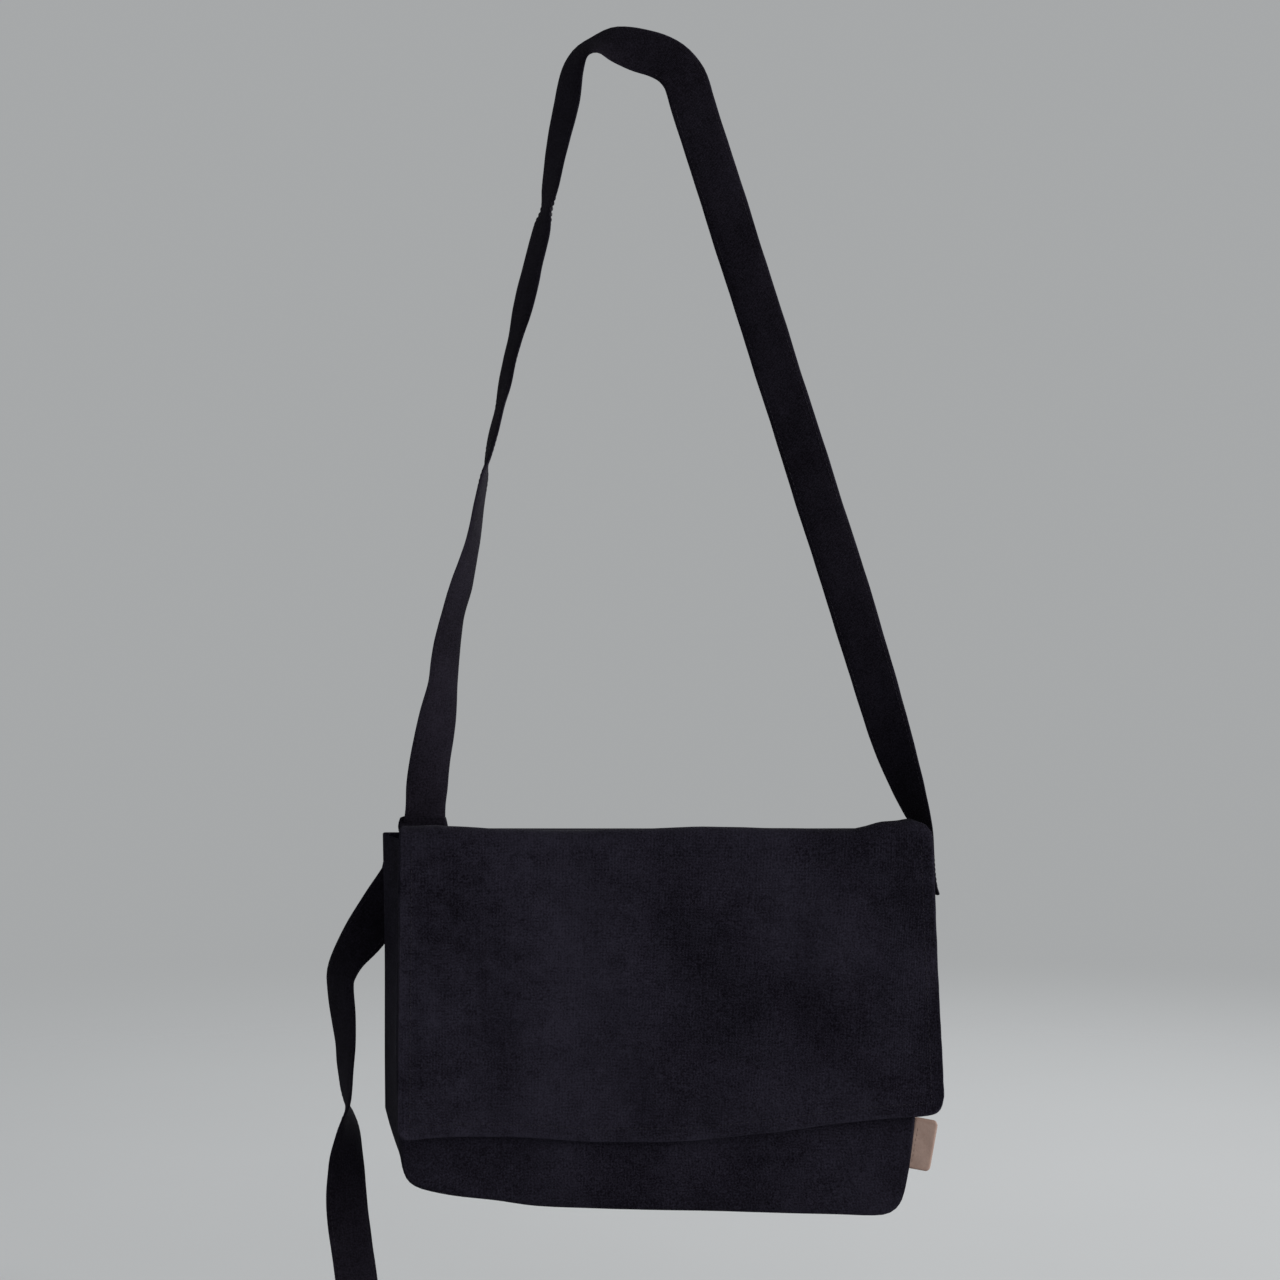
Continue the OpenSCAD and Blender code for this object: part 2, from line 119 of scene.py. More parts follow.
def through(table, x):
    """Smooth curve through given points (x, value, ...), read at x."""
    t = np.array(table, float)
    xs, ys = t[:, 0], t[:, 1:]
    slope = np.zeros_like(ys)
    slope[1:-1] = (ys[2:] - ys[:-2]) / (xs[2:] - xs[:-2])[:, None]
    slope[0] = (ys[1] - ys[0]) / (xs[1] - xs[0])
    slope[-1] = (ys[-1] - ys[-2]) / (xs[-1] - xs[-2])
    x = np.clip(np.asarray(x, float), xs[0], xs[-1])
    i = np.clip(np.searchsorted(xs, x, side="right") - 1, 0, len(xs) - 2)
    span = xs[i + 1] - xs[i]
    s = ((x - xs[i]) / span)[..., None]
    a, b, span = ys[i], ys[i + 1], span[..., None]
    out = (
        a * (1 + 2 * s) * (1 - s) ** 2 + b * s * s * (3 - 2 * s)
        + slope[i] * span * s * (1 - s) ** 2 - slope[i + 1] * span * s * s * (1 - s)
    )
    return out[..., 0] if ys.shape[1] == 1 else out


def waves(x, y, size, seed):
    """Soft uneven ripples between about -1 and 1, the same ones each time."""
    total, weight = 0, 0
    for i in range(6):
        angle, rate, share = seed * 1.7 + i * 2.4, (1 + 0.37 * i) / size, 1 / (1 + 0.5 * i)
        total = total + share * np.sin(
            2 * math.pi * rate * (x * math.cos(angle) + y * math.sin(angle)) + 3.1 * i + seed
        )
        weight += share
    return total / weight * 1.6


def smooth_route(stations, step):
    """Catmull-Rom curve through stations of any width, at even steps along its first three columns."""
    p = np.array(stations, float)
    q = np.vstack([p[0], p, p[-1]])
    fine = []
    for i in range(len(p) - 1):
        a, b, c, d = q[i], q[i + 1], q[i + 2], q[i + 3]
        for s in np.linspace(0, 1, 16, endpoint=False):
            fine.append(0.5 * (
                2 * b + (c - a) * s + (2 * a - 5 * b + 4 * c - d) * s**2 + (3 * b - a - 3 * c + d) * s**3
            ))
    fine = np.array(fine + [p[-1]])
    along = np.concatenate([[0], np.cumsum(np.linalg.norm(np.diff(fine[:, :3], axis=0), axis=1))])
    at = np.linspace(0, along[-1], int(round(along[-1] / step)) + 1)
    return np.stack([np.interp(at, along, fine[:, k]) for k in range(fine.shape[1])], axis=1), at


# ---- Mesh makers ----


def make_mesh(name, points, faces, uv, wear, material):
    mesh = bpy.data.meshes.new(name)
    mesh.from_pydata((np.asarray(points) * MM).tolist(), [], [list(map(int, f)) for f in faces])
    layer = mesh.uv_layers.new(name="UVMap")
    loops = np.zeros(len(mesh.loops), np.int32)
    mesh.loops.foreach_get("vertex_index", loops)
    layer.data.foreach_set("uv", (np.asarray(uv, float)[loops] * MM).astype(np.float32).ravel())
    wear_and_painted_light = mesh.attributes.new("wear", "FLOAT", "POINT")
    wear_and_painted_light.data.foreach_set("value", np.asarray(wear, float).astype(np.float32))
    work = bmesh.new()
    work.from_mesh(mesh)
    bmesh.ops.recalc_face_normals(work, faces=work.faces)
    work.to_mesh(mesh)
    work.free()
    for polygon in mesh.polygons:
        polygon.use_smooth = True
    mesh.set_sharp_from_angle(angle=math.radians(62))
    mesh.materials.append(material)
    made = bpy.data.objects.new(name, mesh)
    bpy.context.scene.collection.objects.link(made)
    return made


def quads(rows, cols, wrap):
    """Faces of a grid of points, closed across its columns if wrap is set."""
    made = []
    for r in range(rows - 1):
        for c in range(cols if wrap else cols - 1):
            d = (c + 1) % cols
            made.append((r * cols + c, r * cols + d, (r + 1) * cols + d, (r + 1) * cols + c))
    return made


def surface_normals(p, centre, wrap=False):
    if wrap:
        across = np.roll(p, -1, axis=1) - np.roll(p, 1, axis=1)
    else:
        across = np.gradient(p, axis=1)
    down = np.gradient(p, axis=0)
    n = unit(np.cross(across, down))
    if (n * (p - np.asarray(centre, float))).sum() < 0:
        n = -n
    return n


def cloth(name, p, thick, uv, wear, material, centre=CENTRE, wrap=False, square=()):
    """Closed sheet with round edges. p is its outer surface in rows and columns, and it thickens towards
    the centre. The sides named in square keep a flat edge, for a cut that meets another piece."""
    rows, cols = p.shape[:2]
    thick = np.broadcast_to(np.asarray(thick, float), (rows, cols))
    n = surface_normals(p, centre, wrap)
    inner = p - n * thick[..., None]
    points = [p.reshape(-1, 3), inner.reshape(-1, 3)]
    uvs, wears = [uv.reshape(-1, 2)] * 2, [np.broadcast_to(wear, (rows, cols)).reshape(-1)] * 2
    count, faces = rows * cols, []
    at = np.arange(count).reshape(rows, cols)
    for quad in quads(rows, cols, wrap):
        faces.append(quad)
        faces.append(tuple(i + count for i in quad[::-1]))
    if wrap:
        borders = [
            [(0, c, 1, c, "top") for c in range(cols)],
            [(rows - 1, c, rows - 2, c, "bottom") for c in range(cols)],
        ]
    else:
        borders = [
            [(0, c, 1, c, "top") for c in range(cols)]
            + [(r, cols - 1, r, cols - 2, "right") for r in range(1, rows)]
            + [(rows - 1, c, rows - 2, c, "bottom") for c in range(cols - 2, -1, -1)]
            + [(r, 0, r, 1, "left") for r in range(rows - 2, 0, -1)]
        ]
    start = 2 * count
    for border in borders:
        middle, border_uv, border_wear, ids = [], [], [], []
        for r, c, r2, c2, side in border:
            out = unit(p[r, c] - p[r2, c2])
            bulge = 0 if side in square else 0.42 * thick[r, c]
            middle.append((p[r, c] + inner[r, c]) / 2 + out * bulge)
            border_uv.append(uv[r, c])
            border_wear.append(min(1.0, wears[0][at[r, c]] + (0 if side in square else 0.12)))
            ids.append(at[r, c])
        points.append(np.array(middle))
        uvs.append(np.array(border_uv))
        wears.append(np.array(border_wear))
        m = len(ids)
        for k in range(m):
            j = (k + 1) % m
            faces.append((ids[k], ids[j], start + j, start + k))
            faces.append((start + k, start + j, ids[j] + count, ids[k] + count))
        start += m
    return make_mesh(name, np.vstack(points), faces, np.vstack(uvs), np.concatenate(wears), material)


def ends_fine(count, length, near=(0.7, 1.5, 2.6, 4, 6, 9, 13, 18)):
    """Shares from 0 to 1, close together near both ends of a length in millimetres."""
    near = np.array(near) / length
    middle = np.linspace(near[-1], 1 - near[-1], count)
    return np.concatenate([[0], near[:-1], middle, (1 - near[:-1])[::-1], [1]])


def stitches(name, points, normals, material, pitch=3.0, length=2.1, radius=0.28):
    """A row of thread stitches along a line on cloth. normals holds one direction, or one for each point."""
    points = np.array(points, float)
    normals = np.broadcast_to(unit(np.array(normals, float)), points.shape)
    along = np.concatenate([[0], np.cumsum(np.linalg.norm(np.diff(points, axis=0), axis=1))])
    places = np.arange(pitch / 2, along[-1] - pitch / 4, pitch)

    def read(places, values):
        return np.stack([np.interp(places, along, values[:, k]) for k in range(3)], axis=1)

    run = unit(read(places + 0.5, points) - read(places - 0.5, points))
    up = unit(read(places, normals))
    side = np.cross(run, up)
    verts, faces, sides = [], [], 6
    for w, r, u, s in zip(read(places, points), run, up, side):
        base = len(verts)
        for share, size in ((-0.5, 0.35), (-0.3, 0.9), (0.3, 0.9), (0.5, 0.35)):
            lift = (-0.3 if abs(share) < 0.4 else -0.9) * radius
            for k in range(sides):
                a = 2 * math.pi * k / sides
                rise, aside = radius * size * math.sin(a), radius * size * math.cos(a)
                verts.append(w + r * share * length + u * (lift + rise) + s * aside)
        faces += [tuple(base + i for i in (a, b, c, d)) for a, b, c, d in quads(4, sides, True)]
        faces.append(tuple(base + k for k in range(sides - 1, -1, -1)))
        faces.append(tuple(base + 3 * sides + k for k in range(sides)))
    verts = np.array(verts)
    return make_mesh(name, verts, faces, verts[:, [0, 2]], np.zeros(len(verts)), material)


def join_rows(name, rows, material, **sizes):
    """Several rows of stitches as one piece. rows holds (points, normals) pairs."""
    made = [stitches(f"{name}_{i}", p, n, material, **sizes) for i, (p, n) in enumerate(rows)]
    bpy.ops.object.select_all(action="DESELECT")
    for o in made:
        o.select_set(True)
    bpy.context.view_layer.objects.active = made[0]
    if len(made) > 1:
        bpy.ops.object.join()
    made[0].name = made[0].data.name = name
    return made[0]


def boxed(half, top, bottom):
    """Lines of a stitched box with a cross in it."""
    box = [(-half, top), (half, top), (half, bottom), (-half, bottom), (-half, top)]
    return [box, [(-half, top), (half, bottom)], [(half, top), (-half, bottom)]]


def tell(piece, slot, *nodes, body=None):
    """Hides the solids that a piece stands for and hangs it on the body it rides, when one is given. slot is not used.
    """
    if body:
        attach(piece, body)
    if nodes:
        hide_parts(*nodes)


# ---- Materials ----


class Nodes:
    """Short calls that add shader nodes and return their outputs."""

    def __init__(self, name):
        self.material = bpy.data.materials.new(name)
        self.material.use_nodes = True
        self.tree = self.material.node_tree
        self.shader = self.tree.nodes["Principled BSDF"]

    def put(self, value, socket):
        if isinstance(value, bpy.types.NodeSocket):
            self.tree.links.new(value, socket)
        else:
            socket.default_value = value

    def set(self, name, value):
        self.put(value, self.shader.inputs[name])

    def math(self, operation, a, b=0.0, clamp=False):
        n = self.tree.nodes.new("ShaderNodeMath")
        n.operation, n.use_clamp = operation, clamp
        self.put(a, n.inputs[0])
        self.put(b, n.inputs[1])
        return n.outputs[0]

    def add(self, a, b):
        return self.math("ADD", a, b)

    def times(self, a, b):
        return self.math("MULTIPLY", a, b)

    def span(self, value, a, b, c, d):
        """Maps a to b onto c to d."""
        n = self.tree.nodes.new("ShaderNodeMapRange")
        for socket, x in zip(n.inputs[:5], (value, a, b, c, d)):
            self.put(x, socket)
        return n.outputs[0]

    def uv(self):
        n = self.tree.nodes.new("ShaderNodeUVMap")
        n.uv_map = "UVMap"
        parts = self.tree.nodes.new("ShaderNodeSeparateXYZ")
        self.tree.links.new(n.outputs[0], parts.inputs[0])
        return parts.outputs[0], parts.outputs[1]

    def vector(self, x, y, z=0.0):
        n = self.tree.nodes.new("ShaderNodeCombineXYZ")
        for socket, value in zip(n.inputs, (x, y, z)):
            self.put(value, socket)
        return n.outputs[0]

    def place(self):
        return self.tree.nodes.new("ShaderNodeTexCoord").outputs["Object"]

    def noise(self, vector, scale, detail=2.0, rough=0.5):
        n = self.tree.nodes.new("ShaderNodeTexNoise")
        self.put(vector, n.inputs["Vector"])
        n.inputs["Scale"].default_value = scale
        n.inputs["Detail"].default_value = detail
        n.inputs["Roughness"].default_value = rough
        return n.outputs["Fac"]

    def cells(self, vector, scale):
        n = self.tree.nodes.new("ShaderNodeTexVoronoi")
        self.put(vector, n.inputs["Vector"])
        n.inputs["Scale"].default_value = scale
        return n.outputs["Distance"]

    def attribute(self, name):
        n = self.tree.nodes.new("ShaderNodeAttribute")
        n.attribute_name = name
        return n.outputs["Fac"]

    def mix(self, share, a, b):
        n = self.tree.nodes.new("ShaderNodeMix")
        n.data_type = "RGBA"
        self.put(share, n.inputs["Factor"])
        self.put(a, n.inputs[6])
        self.put(b, n.inputs[7])
        return n.outputs[2]

    def bump(self, height, strength, distance, before=None):
        n = self.tree.nodes.new("ShaderNodeBump")
        n.inputs["Strength"].default_value = strength
        n.inputs["Distance"].default_value = distance
        self.put(height, n.inputs["Height"])
        if before is not None:
            self.put(before, n.inputs["Normal"])
        return n.outputs[0]


def cloth_material(name, dark, light, pitch, weave=0.7, sheen=0.015, lint=True):
    """Plain-weave cloth. pitch is the distance between threads, in metres."""
    m = Nodes(name)
    u, v = m.uv()
    wobble = m.span(m.noise(m.place(), 55.0), 0, 1, -0.35 * pitch, 0.35 * pitch)
    wave_u = m.math("SINE", m.times(m.add(u, wobble), math.pi / pitch))
    wave_v = m.math("SINE", m.times(m.add(v, wobble), math.pi / pitch))
    over = m.span(m.times(wave_u, wave_v), -0.5, 0.5, 0, 1)
    warp = m.math("ABSOLUTE", wave_u)
    weft = m.math("ABSOLUTE", wave_v)
    height = m.add(m.times(warp, over), m.times(weft, m.math("SUBTRACT", 1.0, over)))
    slub_warp = m.noise(m.vector(m.times(u, 0.8 / pitch), m.times(v, 70.0)), 1.0, 2.0)
    slub_weft = m.noise(m.vector(m.times(u, 70.0), m.times(v, 0.8 / pitch), 7.0), 1.0, 2.0)
    slub = m.add(m.times(slub_warp, over), m.times(slub_weft, m.math("SUBTRACT", 1.0, over)))
    mottle = m.noise(m.place(), 15.0, 3.0, 0.55)
    blotch = m.noise(m.place(), 130.0, 2.0, 0.6)
    grain = m.noise(m.place(), 1100.0, 2.0, 0.6)
    tone = m.add(m.span(slub, 0.3, 0.7, -0.02, 0.24), m.span(mottle, 0.3, 0.7, -0.25, 0.25))
    tone = m.add(tone, m.span(grain, 0.3, 0.7, -0.36, 0.42))
    tone = m.add(tone, m.span(blotch, 0.3, 0.7, -0.07, 0.09))
    # Painted shade between threads: the weave's hollows are coloured darker than its crowns.
    tone = m.add(tone, m.times(height, 0.40))
    patchy = m.span(m.noise(m.place(), 140.0, 3.0), 0.35, 0.7, 0.15, 0.9)
    # The wear attribute lightens the cloth: real wear at edges and folds, and on the flap a painted light that makes
    # its left side lighter.
    tone = m.math("ADD", tone, m.times(m.attribute("wear"), patchy), clamp=True)
    colour = m.mix(tone, (*dark, 1), (*light, 1))
    if lint:
        speck = m.math("LESS_THAN", m.cells(m.place(), 11.0), 0.0085)
        colour = m.mix(m.times(speck, 0.35), colour, (0.30, 0.27, 0.22, 1))
    m.set("Base Color", colour)
    m.set("Roughness", 0.95)
    m.set("Specular IOR Level", 0.03)
    m.set("Sheen Weight", sheen)
    m.set("Sheen Roughness", 0.55)
    m.set("Sheen Tint", (0.60, 0.58, 0.70, 1))
    creases = m.bump(m.noise(m.place(), 34.0, 4.0, 0.55), 0.30, 0.0022)
    m.set("Normal", m.bump(height, weave, 0.00028, creases))
    return m.material


def leather_material():
    m = Nodes("leather")
    pores = m.cells(m.place(), 1500.0)
    cloud = m.noise(m.place(), 120.0, 4.0, 0.6)
    fleck = m.noise(m.place(), 700.0, 2.0)
    colour = m.mix(m.span(cloud, 0.3, 0.7, 0, 1), (0.205, 0.137, 0.112, 1), (0.280, 0.197, 0.163, 1))
    colour = m.mix(m.span(fleck, 0.52, 0.75, 0, 0.35), colour, (0.185, 0.112, 0.082, 1))
    colour = m.mix(m.times(m.attribute("wear"), 0.4), colour, (0.20, 0.12, 0.09, 1))
    m.set("Base Color", colour)
    m.set("Roughness", m.span(cloud, 0.2, 0.8, 0.42, 0.6))
    m.set("Specular IOR Level", 0.4)
    m.set("Normal", m.bump(pores, 0.35, 0.00012, m.bump(cloud, 0.25, 0.0004)))
    return m.material


def thread_material(name, dark, light):
    m = Nodes(name)
    twist = m.math("SINE", m.times(m.add(*m.uv()), 9000.0))
    colour = m.mix(m.span(m.noise(m.place(), 400.0), 0.3, 0.7, 0, 1), (*dark, 1), (*light, 1))
    m.set("Base Color", colour)
    m.set("Roughness", 0.85)
    m.set("Specular IOR Level", 0.15)
    m.set("Normal", m.bump(twist, 0.4, 0.00012))
    return m.material


CANVAS_PITCH, LINING_PITCH = 0.00078, 0.00045
CANVAS = cloth_material("canvas", (0.0027, 0.0021, 0.0040), (0.0186, 0.0170, 0.0264), CANVAS_PITCH)
# Painted shade: the strap's canvas is the body canvas made darker, to stand in for the shade on the strap's crown and
# legs.
SHADED_STRAP = cloth_material("strap_canvas_painted_shade", (0.0028, 0.0022, 0.0037), (0.0128, 0.0111, 0.0170), CANVAS_PITCH, lint=False)
LINING = cloth_material("lining", (0.014, 0.0135, 0.0175), (0.034, 0.033, 0.042), LINING_PITCH, 0.5, 0.03, False)
LEATHER = leather_material()
THREAD = thread_material("thread", (0.0060, 0.0050, 0.0080), (0.0150, 0.0130, 0.0190))
TAG_THREAD = thread_material("tag_thread", (0.190, 0.127, 0.104), (0.250, 0.173, 0.143))

# ---- Ribbons: the strap and its tail ----

# Stations of each stretch, near those of part.scad. The last number is the twist in degrees.
CROWN_Y, CROWN_MID = 9.0, STRAP_W / 2
CROWN = [  # x, z
    (-41, -28.5, -127), (-38, -11.5, -124), (-33.5, -0.8, -117), (-25, 4.3, -124), (-14, 4.7, -155),
    (0, 1.0, -176), (10, -2, -180), (18, -6.5, -180), (24, -13.5, -180), (27, -20.5, -180), (29, -27.5, -181),
]
LEFT = [  # share of the leg, bow to the side
    (0, 0.4, -27), (0.04, -1.6, -28), (0.075, -2.8, -29), (0.11, -3.2, -33), (0.145, -3.6, -41), (0.18, -4.2, -53),
    (0.215, -5.5, -56), (0.25, -6.2, -60), (0.286, -6.2, -64), (0.321, -4.8, -66), (0.356, -3.8, -72),
    (0.391, -3.4, -78), (0.44, -4, -83), (0.475, -4.2, -86), (0.5, -4.3, -99), (0.532, -4, -104),
    (0.567, -3.4, -103), (0.602, -3.1, -109), (0.637, -3, -110), (0.673, -2.1, -112), (0.708, -1.6, -119),
    (0.743, -1.1, -120), (0.778, -0.7, -118), (0.813, 0, -117), (0.833, 0.1, -115), (0.848, 0.6, -109),
    (0.864, 0.8, -110), (0.884, 0.3, -114), (0.919, -0.3, -119), (0.954, -0.3, -124),
]
RIGHT = [
    (0.05, 0, -182), (0.16, 0, -186), (0.3, 0, -188), (0.44, 0, -190), (0.58, 0, -188), (0.72, 0, -190),
    (0.86, -1, -204), (0.93, -1, -218), (1, 0, -242),
]
TAIL = [  # x, y, z from the bottom of the knot
    (-6, 0, -1.4, 0), (-8, 0, -8, 0), (-17, 0, -22, 0), (-27.8, -1, -38, -14), (-36.6, -1, -50.4, -36),
    (-41.2, -1, -60.4, -44), (-41.9, -1, -68, -47), (-40.6, -1, -83, -50), (-39.2, -1, -99, -57),
    (-39.2, -1, -115, -64), (-38.5, -1, -131, -75), (-38, -1, -140, -97), (-37.8, -1, -150, -116),
    (-38.6, -1, -165, -134), (-38.6, -1, -183, -146), (-37.5, -1, -197, -149), (-35.2, -1, -215, -150),
    (-33, -1, -231, -150), (-29.5, -1, -257, -149), (-28, -1, -280, -149), (-28, -1, -294, -149),
]
LEFT_TURN = np.array([-120.0, 4.6, MOUTH_Z + 10.6])
STRAP_Y = -20.5
RIGHT_TURN = np.array([151.5, STRAP_Y, MOUTH_Z + 13.0])


def strap_stations():
    crown = [(x, CROWN_Y, CROWN_MID + z, a) for x, z, a in CROWN]
    first, last = np.array(crown[0][:3]), np.array(crown[-1][:3])

    def leg(a, b, rows):
        return [(*(a + (b - a) * s + np.array([aside, 0, 0])), twist) for s, aside, twist in rows]

    held = [(-120.0, 4.6, MOUTH_Z - 2.5, -4), (-120.0, 4.6, MOUTH_Z + 4.0, -11)]
    sewn = [(157.0, STRAP_Y, MOUTH_Z + 1.0, -262), (158.9, STRAP_Y, MOUTH_Z - 10.0, -270),
            (159.5, STRAP_Y, MOUTH_Z - 19.0, -270), (160.4, STRAP_Y, MOUTH_Z - 25.5, -270),
            (162.0, STRAP_Y, MOUTH_Z - 31.0, -270)]
    return held + leg(LEFT_TURN, first, LEFT) + crown + leg(last, RIGHT_TURN, RIGHT) + sewn


def ribbon_axes(route):
    """The strap's own directions along its route: across its width and through its thickness."""
    run = unit(np.gradient(route[:, :3], axis=0))
    front = np.array([0.0, -1.0, 0.0])
    face = unit(front - run * (run @ front)[:, None])
    side = np.cross(run, face)
    a = np.radians(route[:, 3])[:, None]
    return side * np.cos(a) + face * np.sin(a), face * np.cos(a) - side * np.sin(a)


ACROSS = np.sin(np.linspace(-math.pi / 2, math.pi / 2, 15))


def ribbon(name, route, along, thick, seed, width=None):
    """Flat folded strap with a soft round section, pinched where its edges are stitched."""
    across, through_it = ribbon_axes(route)
    width = np.full(len(route), STRAP_W) if width is None else width
    cup = 0.45 * waves(along, 0 * along, 130, seed) * smooth_steps(along, 0, 25)
    rings, uvs, wears = [], [], []
    for side in (1, -1):
        order = range(len(ACROSS)) if side == 1 else range(len(ACROSS) - 2, 0, -1)
        for j in order:
            q = ACROSS[j]
            half = thick / 2 * (1 - abs(q) ** 5) ** 0.5 if abs(q) < 1 else 0 * thick
            half = half * (1 - 0.22 * math.exp(-(((abs(q) - 0.82) / 0.06) ** 2)))
            ripple = 0.16 * waves(along, 30 * q * np.ones_like(along), 36, seed + 3)
            edge = 0.20 * np.sign(q) * abs(q) ** 3 * waves(along, 50 * q * np.ones_like(along), 52, seed + 5)
            off = side * half + cup * (1 - q * q) + ripple * abs(q)
            rings.append(route[:, :3] + across * (q * width / 2 + edge)[:, None] + through_it * off[:, None])
            uvs.append(np.stack([np.full(len(route), q * STRAP_W / 2), along], axis=1))
            wears.append(np.full(len(route), 0.75 * smooth_steps(abs(q), 0.9, 1.0)))
    rings, uvs, wears = np.stack(rings, 1), np.stack(uvs, 1), np.stack(wears, 1)
    rows, n = rings.shape[:2]
    faces = quads(rows, n, True)
    for i, flip in ((0, False), (rows - 1, True)):
        for j in range(len(ACROSS) - 1):
            a, b = i * n + j, i * n + j + 1
            c, d = i * n + (n - j - 1) % n, i * n + (n - j) % n
            quad = [x for m, x in enumerate((a, b, c, d)) if x not in (a, b, c, d)[:m]]
            faces.append(tuple(quad[::-1] if flip else quad))
    return make_mesh(name, rings.reshape(-1, 3), faces, uvs.reshape(-1, 2), wears.reshape(-1), SHADED_STRAP)


def ribbon_rows(route, thick, cut, inset=2.2):
    """Stitch lines inside both edges of a ribbon, on both its faces. cut leaves out rings at its two ends."""
    across, through_it = ribbon_axes(route)
    kept = slice(cut[0], len(route) - cut[1])
    q = 1 - inset / (STRAP_W / 2)
    lift = thick / 2 * (1 - q**5) ** 0.5 * 0.8
    rows = []
    for edge in (1, -1):
        for face in (1, -1):
            p = route[:, :3] + across * edge * (STRAP_W / 2 - inset) + through_it * (face * lift)[:, None]
            rows.append((p[kept], (through_it * face)[kept]))
    return rows


def make_tail():
    stations = [tuple(KNOT_BOTTOM + np.array([-2.0, 0, 5.0])) + (0,)]
    stations += [(*(KNOT_BOTTOM + np.array([x, y, z])), a) for x, y, z, a in TAIL]
    route, along = smooth_route(stations, RIBBON_STEP)
    total, hem, hem_reach = along[-1], 15, 10.5
    thick = STRAP_T + 0.9 * smooth_steps(along, total - hem, total - hem + 1.5)
    thick = thick * (1 - 0.25 * smooth_steps(along, total - 1.5, total))
    tail = ribbon("strap_tail_cloth", route, along, thick, 4)
    rows = ribbon_rows(route, thick, cut=(5, 1))
    across, through_it = ribbon_axes(route)
    i = len(route) - 5
    for face in (1, -1):
        ends = [route[i, :3] + across[i] * s * hem_reach + through_it[i] * face * thick[i] / 2 for s in (-1, 1)]
        rows.append((ends, through_it[i] * face))
    seams = join_rows("stitching_tail", rows, THREAD)
    for o in (tail, seams):
        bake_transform(o)
    tell(tail, "strap", "strap_tail", "tail_hem")
    tell(seams, "thread")


make_tail()


def make_strap():
    route, along = smooth_route(strap_stations(), RIBBON_STEP)
    z = route[:, 2]
    left = route[:, 0] < 0
    pinch_z, lap_z = -77, -242
    pinch = 0.16 * np.exp(-(((z - pinch_z) / 7) ** 2)) * left
    thick = STRAP_T * (1 + 0.35 * np.exp(-(((z - lap_z) / 3.5) ** 2)) * ~left)
    gathered = -0.03 * smooth_steps(-z, 398, 408) * left
    band = ribbon("strap_band", route, along, thick, 1, STRAP_W * (1 - pinch + gathered))
    seams = join_rows("stitching_strap", ribbon_rows(route, thick, cut=(4, 1)), THREAD)
    for o in (band, seams):
        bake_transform(o)
    tell(band, "strap", "strap_crown", "strap_leg_left", "strap_leg_right", "strap_in_keeper", "strap_sewn_end")
    tell(seams, "thread")


make_strap()

# ---- Body: front, back and gussets, then the lining inside them ----

# Side edges are x by share of the depth, and base edges z by x
FRONT_LEFT = [(0, -129.5), (0.4, -130), (0.8, -129.5), (1, -128)]
FRONT_RIGHT = [(0, 155.5), (0.42, 153), (0.78, 147.5), (0.945, 144), (1, 142)]
FRONT_BASE = [
    (-128, -590), (-126.6, -598), (-124.4, -603.8), (-120.4, -607.4), (-112, -609.7), (-98, -612.4), (-76, -615.2),
    (-53, -618), (32, -620.4), (110, -622.6), (127, -622.8), (134.5, -620.8), (139.2, -615.2), (142, -606),
]
BACK_LEFT = [(0, -142.5), (0.4, -141.4), (0.8, -141.2), (1, -141)]
BACK_RIGHT = [(0, 148), (0.45, 146), (0.8, 141), (1, 136)]
BACK_BASE = [
    (-141, -574), (-138.3, -584), (-133, -600), (-128.5, -610.5), (-121, -616), (-100, -617.5), (60, -618),
    (110, -618.5), (124, -616.5), (132, -610), (136, -600),
]


def front_y(x, z):
    """The front's outer surface: it leans out towards the bottom, bellies a little and has soft folds."""
    depth = np.clip(MOUTH_Z - z, 0, BODY_H)
    middle = np.sin(math.pi * np.clip((x + 129.5) / 280, 0, 1)) ** 0.7
    belly = 1.6 * middle * np.sin(math.pi * (depth / BODY_H) ** 0.8) ** 0.8
    folds = 1.1 * waves(x, z, 105, 1) * smooth_steps(depth, 0, 50)
    return -(46 + 10 * depth / BODY_H + belly + folds)


def back_y(x, z):
    return 0.35 * waves(x, z, 120, 2) * smooth_steps(MOUTH_Z - z, 20, 60) - 0.3


def bow(side, depth, across):
    """How far a gusset stands out from the straight line between front and back."""
    shape = np.sin(math.pi * across)
    if side == "left":
        return -5.0 * shape**1.5 * (1 - smooth_steps(depth, 30, 150))
    return shape * (6.8 - 4.2 * smooth_steps(depth, 45, 120) - 1.4 * smooth_steps(depth, 120, 190))


def mouth_sag(x, depth, across):
    """The mouth's edge sags at the left gusset and hardly at the right one."""
    most = np.where(np.asarray(x) < 0, 2.2, 0.5)
    return most * math.sin(math.pi * across) ** 0.6 * (1 - smooth_steps(depth, 0, 40))


U = ends_fine(44, PANEL_W)
V = ends_fine(36, 190)


def edge_curl(near, r=ROLL):
    """How far an edge rounded to radius r falls back, at a distance from it."""
    return r - np.sqrt(np.maximum(r**2 - (r - np.minimum(near, r)) ** 2, 0))


def between(left, right, u, v, inset):
    """x at a share u of the way across and v of the way down, inset from both side edges."""
    return (through(left, v) + inset) + (through(right, v) - through(left, v) - 2 * inset) * u


